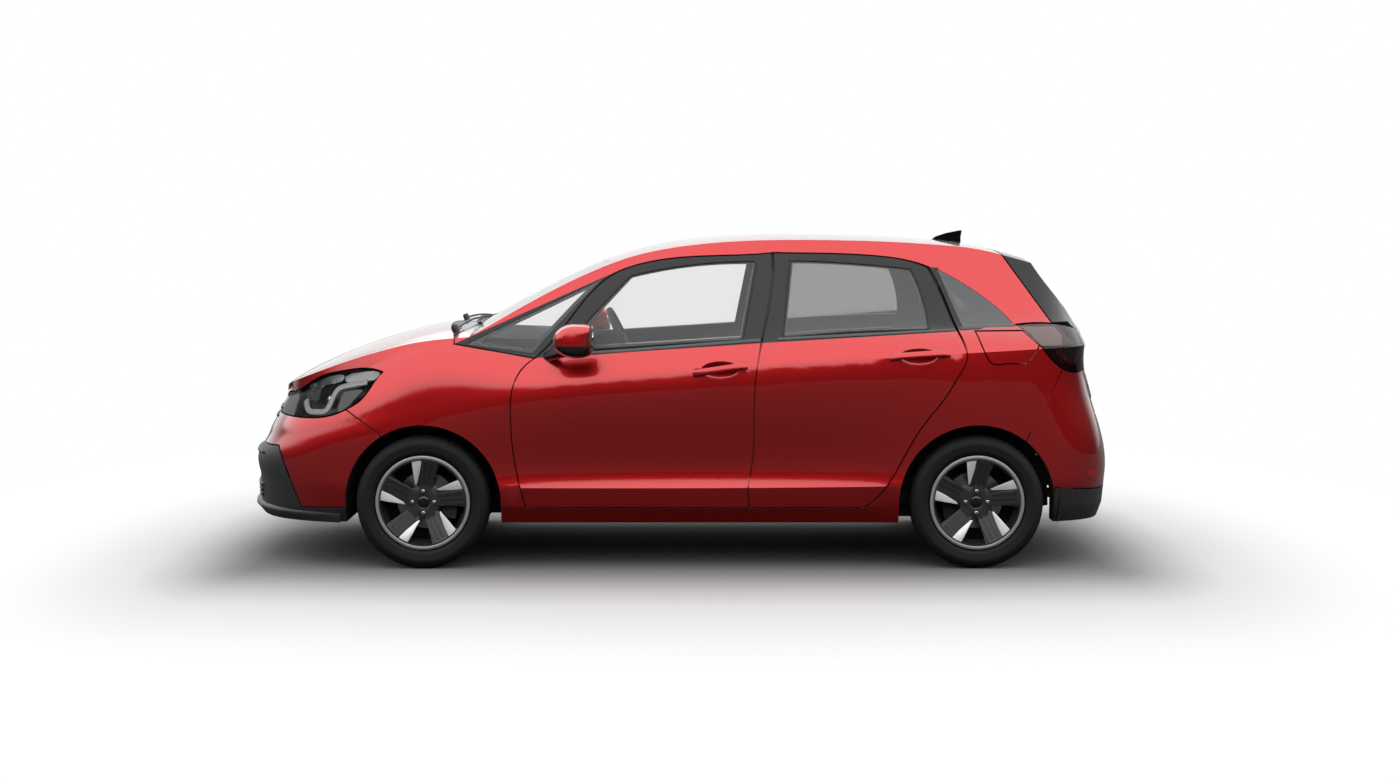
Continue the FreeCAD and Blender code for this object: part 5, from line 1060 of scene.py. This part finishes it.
lipLook = {"height": 0.250, "drop": 0.010, "turns": 80, "steps": 90, "thin": 0.10, "middleX": -1.40,
           "section": [(-0.022, -0.012), (-0.020, 0.014), (-0.008, 0.032), (0.002, 0.034), (0.012, 0.020),
                       (0.034, -0.004)]}
noseSkin = trees("front_grilles", "front_bumper")
spine, normals = [], []
for i in range(lipLook["steps"] + 1):
    share = i / lipLook["steps"] * 2 - 1
    turn = math.radians(180 + lipLook["turns"] * share)
    away = Vector((math.cos(turn), math.sin(turn), 0))
    height = lipLook["height"] - lipLook["drop"] * abs(share) ** 2
    hit = cast(Vector((lipLook["middleX"], 0, height)) + away * 1.6, -away, noseSkin)
    if hit:
        spine.append(hit[0])
        outward = Vector((hit[1].x, hit[1].y, 0)).normalized()
        normals.append(outward * (1 - (1 - lipLook["thin"]) * abs(share) ** 1.5))
for _ in range(4):
    spine, normals = evened(spine), evened(normals)
onBody(strip("front_splitter_lip", spine, normals, lipLook["section"], skirtPlastic), "front_grilles")
print("liners and lip made")

# Front grille bars: the height and half width of each, its steps, and its section's width and depth

grilleSkin = trees("front_grilles")
grilleLook = {"lower": ([(0.298, 0.455), (0.324, 0.475), (0.350, 0.490), (0.504, 0.530)], 16, (0.012, 0.010)),
              "upper": ([(0.668, 0.520), (0.704, 0.520)], 20, (0.010, 0.006)), "foot": -0.004}
for part in ("lower", "upper"):
    bars, steps, (width, depth) = grilleLook[part]
    for index, (height, half) in enumerate(bars):
        path = [(half - 2 * half * i / steps, height) for i in range(steps + 1)]
        section = flatBar(width, depth, grilleLook["foot"])
        onBody(sideStrip("%s_grille_bar_%d" % (part, index + 1), path, section, darkPlastic, 0.04,
                         skin=grilleSkin, smoothing=0, throw=faced), "front_grilles")

# Blank rear plate in a plain holder; it leans as the panel behind it does

plateLook = {"half": 0.260, "tall": 0.055, "height": 0.800, "holder": (0.008, -0.040, 0.004, 0.003),
             "blank": (0.0, 0.002, 0.007, 0.0015)}
spot, normal = backed(0, plateLook["height"])
parts = []
for part, finish in (("holder", darkPlastic), ("blank", plateWhite)):
    edge, low, high, rounding = plateLook[part]
    across, up = plateLook["half"] + edge, plateLook["tall"] + edge
    outline = [(a * across, plateLook["height"] + b * up) for a, b in ((-1, -1), (1, -1), (1, 1), (-1, 1))]
    parts.append(bevelled(prism(part, outline, spot.x + low, spot.x + high, finish, "X"), rounding))
lean = Matrix.Rotation(-math.asin(normal.z), 4, "Y")
pivot = Matrix.Translation(spot)
onBody(placed(joined("rear_blank_plate", parts), pivot @ lean @ pivot.inverted()), "tailgate")

# Rear reflectors

bothSides(patch("rear_reflector", [(1.880, 0.412), (1.936, 0.412), (1.934, 0.440), (1.878, 0.440)],
                0.003, 0.006, tailRed, step=0.01), "rear_bumper")

# Rear wiper: its arm and blade run from a pivot cap over the foot of the rear window

gateSkin = trees("tailgate", "tailgate_glass")
rearWiper = {
    "start": (-0.03, 1.128), "run": (0.40, 0.012), "steps": 30, "pivotAt": 2, "bladeFrom": 4,
    "armLift": 0.014, "bladeLift": 0.007, "arm": symmetric([(-0.008, -0.004), (-0.008, 0.004), (-0.003, 0.007)]),
    "blade": [(-0.016, -0.006), (-0.018, 0.003), (-0.011, 0.006), (-0.006, 0.006), (-0.005, -0.006)],
    "knob": [(0, -0.036), (0.013, -0.035), (0.017, -0.029), (0.018, 0.004), (0, 0.004)],
    "knobFacing": (0.80, 0, 0.60)}
line = [[a + b * i / rearWiper["steps"] for a, b in zip(rearWiper["start"], rearWiper["run"])]
        for i in range(rearWiper["steps"] + 1)]
spine, normals = laid(line, backed, gateSkin)
first = rearWiper["bladeFrom"]
arm = strip("arm", lifted(spine, normals, rearWiper["armLift"]), normals, rearWiper["arm"], darkPlastic)
blade = strip("blade", lifted(spine[first:], normals[first:], rearWiper["bladeLift"]), normals[first:],
              rearWiper["blade"], sealRubber)
knob = lathe("knob", rearWiper["knob"], darkPlastic, 32, closed=False)
turnedTo(knob, spine[rearWiper["pivotAt"]], Vector(rearWiper["knobFacing"]))
onBody(joined("rear_wiper", [arm, blade, knob]), "tailgate")

# Key cylinder behind the driver's handle

keyLook = {"place": (0.303, 0.915),
           "profile": [(0, -0.0030), (0.0045, -0.0030), (0.0060, -0.0020), (0.0062, 0.002), (0, 0.002)]}
key = lathe("key_cylinder", keyLook["profile"], chrome, 24, closed=False)
onBody(turnedTo(key, *thrown(*keyLook["place"])), "front_left_door")
print("plates and wipers made")


# Seats: crowned pads with pulled-in sides and sewn channels, on moulded bases

padLook = {"tuck": 0.055, "seamDepth": 0.009, "seamWidth": 0.0075, "wingAt": 0.050, "wingWidth": 0.060,
           "dome": 0.004, "spacing": 0.6}


def pad(name, outline, low, high, seams, crown, bolster=0.0, wingTo=(-0.95, 0.25), rows=26):
    # outline: side section (x, z); low to high: span in y; seams: sewn channels as shares of the span;
    # bolster: height of the wings on the side that looks along wingTo
    line = rounded(outline, 3, True)
    count = len(line)
    centre = Vector((sum(p[0] for p in line) / count, sum(p[1] for p in line) / count))
    span = high - low
    points = []
    for row in range(rows + 1):
        share = row / rows
        place = (1 - math.cos(math.pi * share)) / 2 * padLook["spacing"] + share * (1 - padLook["spacing"])
        edge = min(place, 1 - place) * span
        tuck = padLook["tuck"] * max(0.0, 1 - edge / padLook["tuck"]) ** 2.2
        swell = crown * math.sin(math.pi * place) ** 0.5
        for seam in seams:
            swell -= padLook["seamDepth"] * math.exp(-((place - seam) * span / padLook["seamWidth"]) ** 2)
        wing = bolster * max(0.0, 1 - abs(edge - padLook["wingAt"]) / padLook["wingWidth"])
        for x, z in line:
            out = Vector((x, z)) - centre
            away = out.normalized()
            lean = away * (swell - tuck)
            if wing and away.dot(Vector(wingTo)) > 0.55:
                lean = lean + away * wing
            spot = centre + away * out.length + lean
            points.append((spot.x, low + span * place, spot.y))
    faces = bands(rows + 1, count)
    dome = padLook["dome"]
    for row, y in ((0, low - dome), (rows, high + dome)):  # closed ends, slightly domed
        ring = points[row * count:(row + 1) * count]
        faces += [(row * count + i, row * count + (i + 1) % count, len(points)) for i in range(count)]
        points.append((sum(p[0] for p in ring) / count, y, sum(p[2] for p in ring) / count))
    return meshPiece(name, points, faces, seatCloth, 75)


seatLook = {
    "cushion": [(-0.318, 0.395), (0.190, 0.395), (0.222, 0.470), (-0.120, 0.522), (-0.290, 0.512)],
    "back": [(0.225, 0.440), (0.300, 0.420), (0.430, 0.960), (0.432, 1.030), (0.398, 1.048), (0.318, 0.900),
             (0.222, 0.560)],
    "rest": [(0.412, 1.100), (0.456, 1.098), (0.466, 1.205), (0.446, 1.242), (0.410, 1.205)],
    "span": (-0.598, -0.140), "restSpan": (-0.482, -0.256),
    "shell": [(-0.285, 0.295), (0.190, 0.295), (0.235, 0.330), (0.235, 0.400), (-0.300, 0.400),
              (-0.305, 0.330)],
    "track": [(-0.300, 0.258), (0.245, 0.258), (0.245, 0.300), (-0.300, 0.300)],
    "post": [(0, 0), (0.006, 0), (0.006, 0.11), (0, 0.11)], "postPlace": (0.428, 0.055, 1.020),
    "rearCushion": [(0.590, 0.400), (1.020, 0.400), (1.030, 0.490), (0.620, 0.538), (0.570, 0.520)],
    "rearBack": [(1.062, 0.625), (1.120, 0.625), (1.238, 1.030), (1.200, 1.052), (1.150, 0.960),
                 (1.052, 0.640)],
    "rearHalf": 0.592}


def frontSeat(side, sign):
    low, high = sorted(-sign * y for y in seatLook["span"])
    first, last = sorted(-sign * y for y in seatLook["restSpan"])
    name = side + "_front_"
    pads = [pad(name + "cushion", seatLook["cushion"], low, high, (0.2, 0.8), 0.012, 0.016, (-0.45, 0.9)),
            pad(name + "back", seatLook["back"], low + 0.004, high - 0.004, (0.21, 0.79), 0.010, 0.016),
            pad(name + "headrest", seatLook["rest"], first, last, (), 0.008, rows=14)]
    postX, postHalf, postZ = seatLook["postPlace"]
    posts = [placed(lathe("post", seatLook["post"], chrome, 16, closed=False),
                    Matrix.Translation((postX, (low + high) / 2 + shift, postZ))
                    @ Matrix.Rotation(math.pi / 2, 4, "X")) for shift in (-postHalf, postHalf)]
    shell = bevelled(prism("shell", seatLook["shell"], low + 0.030, high - 0.030, cabinPlastic), 0.010, 2)
    tracks = [bevelled(prism("track", seatLook["track"], middle - 0.018, middle + 0.018, underCoat), 0.004, 1)
              for middle in (low + 0.075, high - 0.075)]
    onBody(joined(name + "seat_frame", [shell] + tracks + posts), "front_seats")
    for piece in pads:
        onBody(piece, "front_seats")
    return pads[0]


cushions = [frontSeat(side, sign) for side, sign in sides]
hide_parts("front_seats")
half = seatLook["rearHalf"]
rearPads = [pad("rear_seat_" + part, seatLook[key], -half, half, seams, 0.010, rows=40)
            for part, key, seams in (("cushion", "rearCushion", (0.04, 0.36, 0.64, 0.96)),
                                     ("back", "rearBack", (0.04, 0.38, 0.62, 0.96)))]
for piece in rearPads:
    onBody(piece, "rear_seat")
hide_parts("rear_seat")
print("seats made")


# Studio: pale floor with a shadow painted round the car, and a white tent over the car, dark at the horizon

# the floor's ramp stops below are a painted shadow: the floor's brightness against distance from the car's
# footprint
studio = {"tent": 1.35, "tentGloss": 2.35, "horizon": 0.015, "farHorizon": 1.0, "farRange": (0.45, 0.85),
          # floorBounce is the darker grey floor that reflections and bounce light see: painted shade in the
          # car's reflections of the floor
          "horizonLow": 0.17, "horizonHigh": 0.28, "floorShade": "F2F2F2", "floorBounce": "6A6A6A",
          "paintedShadowRamp": [(0.0, 0.26), (0.06, 0.36), (0.15, 0.58), (0.25, 0.76), (0.45, 0.87), (0.70, 0.95),
                      (1.0, 1.0)],
          "footprint": (1.95, 0.78, 0), "softness": (0.5, 0.25, 0), "fade": (0.45, 1.1), "floorHalf": 60,
          "lens": 56.856, "sensor": 36, "eye": (0.07908, -10.7847, 1.600), "tiltDown": 4.5216,
          "farthest": 200}


def studioWorld():
    # a soft white tent: bright above the horizon band, dark below it on the near side, white to the camera
    world = bpy.data.worlds.new("studio")
    scene.world = world
    world.use_nodes = True
    tree = world.node_tree
    tree.nodes.clear()
    path = addNode(tree, "ShaderNodeLightPath")
    direction = addNode(tree, "ShaderNodeTexCoord").outputs["Object"]
    parts = addNode(tree, "ShaderNodeSeparateXYZ", links={"Vector": direction})
    near, distant = studio["farRange"]
    far = addNode(tree, "ShaderNodeMapRange", {
        "From Min": near, "From Max": distant, "To Min": studio["horizon"], "To Max": studio["farHorizon"]},
        {"Value": parts.outputs["Y"]})
    tent = addNode(tree, "ShaderNodeMix", {2: studio["tent"], 3: studio["tentGloss"]},
                   {0: path.outputs["Is Glossy Ray"]})
    height = addNode(tree, "ShaderNodeMapRange", {
        "From Min": studio["horizonLow"], "From Max": studio["horizonHigh"]},
        {"Value": parts.outputs["Z"], "To Min": far.outputs[0], "To Max": tent.outputs[0]},
        interpolation_type="SMOOTHSTEP")
    seen = path.outputs["Is Camera Ray"]
    strength = addNode(tree, "ShaderNodeMix", {3: 1.0}, {0: seen, 2: height.outputs[0]})
    light = addNode(tree, "ShaderNodeBackground", {"Color": (1, 1, 1, 1)},
                    {"Strength": strength.outputs[0]})
    addNode(tree, "ShaderNodeOutputWorld", links={"Surface": light.outputs[0]})


def floorMaterial():
    # matt white sweep with a soft shadow painted round the car's footprint, fading to plain white for the camera
    material = bpy.data.materials.new("studio_sweep")
    material.use_nodes = True
    tree = material.node_tree
    tree.nodes.clear()
    spot = addNode(tree, "ShaderNodeTexCoord").outputs["Object"]
    for operation, value in (("ABSOLUTE", None), ("SUBTRACT", studio["footprint"]), ("MAXIMUM", (0, 0, 0)),
                             ("MULTIPLY", studio["softness"])):
        spot = addNode(tree, "ShaderNodeVectorMath", {1: value} if value else {}, {0: spot},
                       operation=operation).outputs[0]
    away = addNode(tree, "ShaderNodeVectorMath", links={0: spot}, operation="LENGTH").outputs["Value"]
    # painted shadow: the floor's colour darkens towards the car's footprint
    paintedShadowRamp = ramp(tree, away, studio["paintedShadowRamp"])
    start, stop = studio["fade"]
    fade = addNode(tree, "ShaderNodeMapRange", {"From Min": start, "From Max": stop}, {"Value": away},
                   interpolation_type="SMOOTHSTEP")
    seen = addNode(tree, "ShaderNodeLightPath").outputs["Is Camera Ray"]
    glow = addNode(tree, "ShaderNodeMath", links={0: fade.outputs[0], 1: seen}, operation="MULTIPLY")
    # reflections and bounce light see the floor a darker grey than the camera does: painted shade
    shade = addNode(tree, "ShaderNodeMix", {
        6: linear(studio["floorBounce"]), 7: linear(studio["floorShade"])}, {"Factor": seen},
        data_type="RGBA")
    floorWithPaintedShadow = addNode(tree, "ShaderNodeMix", {0: 1.0}, {6: shade.outputs[2], 7: paintedShadowRamp}, data_type="RGBA",
                   blend_type="MULTIPLY")
    matt = addNode(tree, "ShaderNodeBsdfDiffuse", links={"Color": floorWithPaintedShadow.outputs[2]})
    white = addNode(tree, "ShaderNodeEmission", {"Color": (1, 1, 1, 1)})
    mixed = addNode(tree, "ShaderNodeMixShader",
                    links={0: glow.outputs[0], 1: matt.outputs[0], 2: white.outputs[0]})
    addNode(tree, "ShaderNodeOutputMaterial", links={"Surface": mixed.outputs[0]})
    return material


studioWorld()
half = studio["floorHalf"]
sweep = bpy.data.meshes.new("floor")
sweep.from_pydata([(-half, -half, 0), (half, -half, 0), (half, half, 0), (-half, half, 0)], [],
                  [(0, 1, 2, 3)])
sweep.materials.append(floorMaterial())
floor = bpy.data.objects.new("floor", sweep)
scene.collection.objects.link(floor)
eye = bpy.data.cameras.new("camera")
eye.lens = studio["lens"]
eye.sensor_width = studio["sensor"]
eye.clip_end = studio["farthest"]
camera = bpy.data.objects.new("camera", eye)
camera.location = studio["eye"]
camera.rotation_euler = (math.radians(90 - studio["tiltDown"]), 0, 0)
scene.collection.objects.link(camera)
scene.camera = camera
scene.view_settings.view_transform = "Standard"

print("scene done")
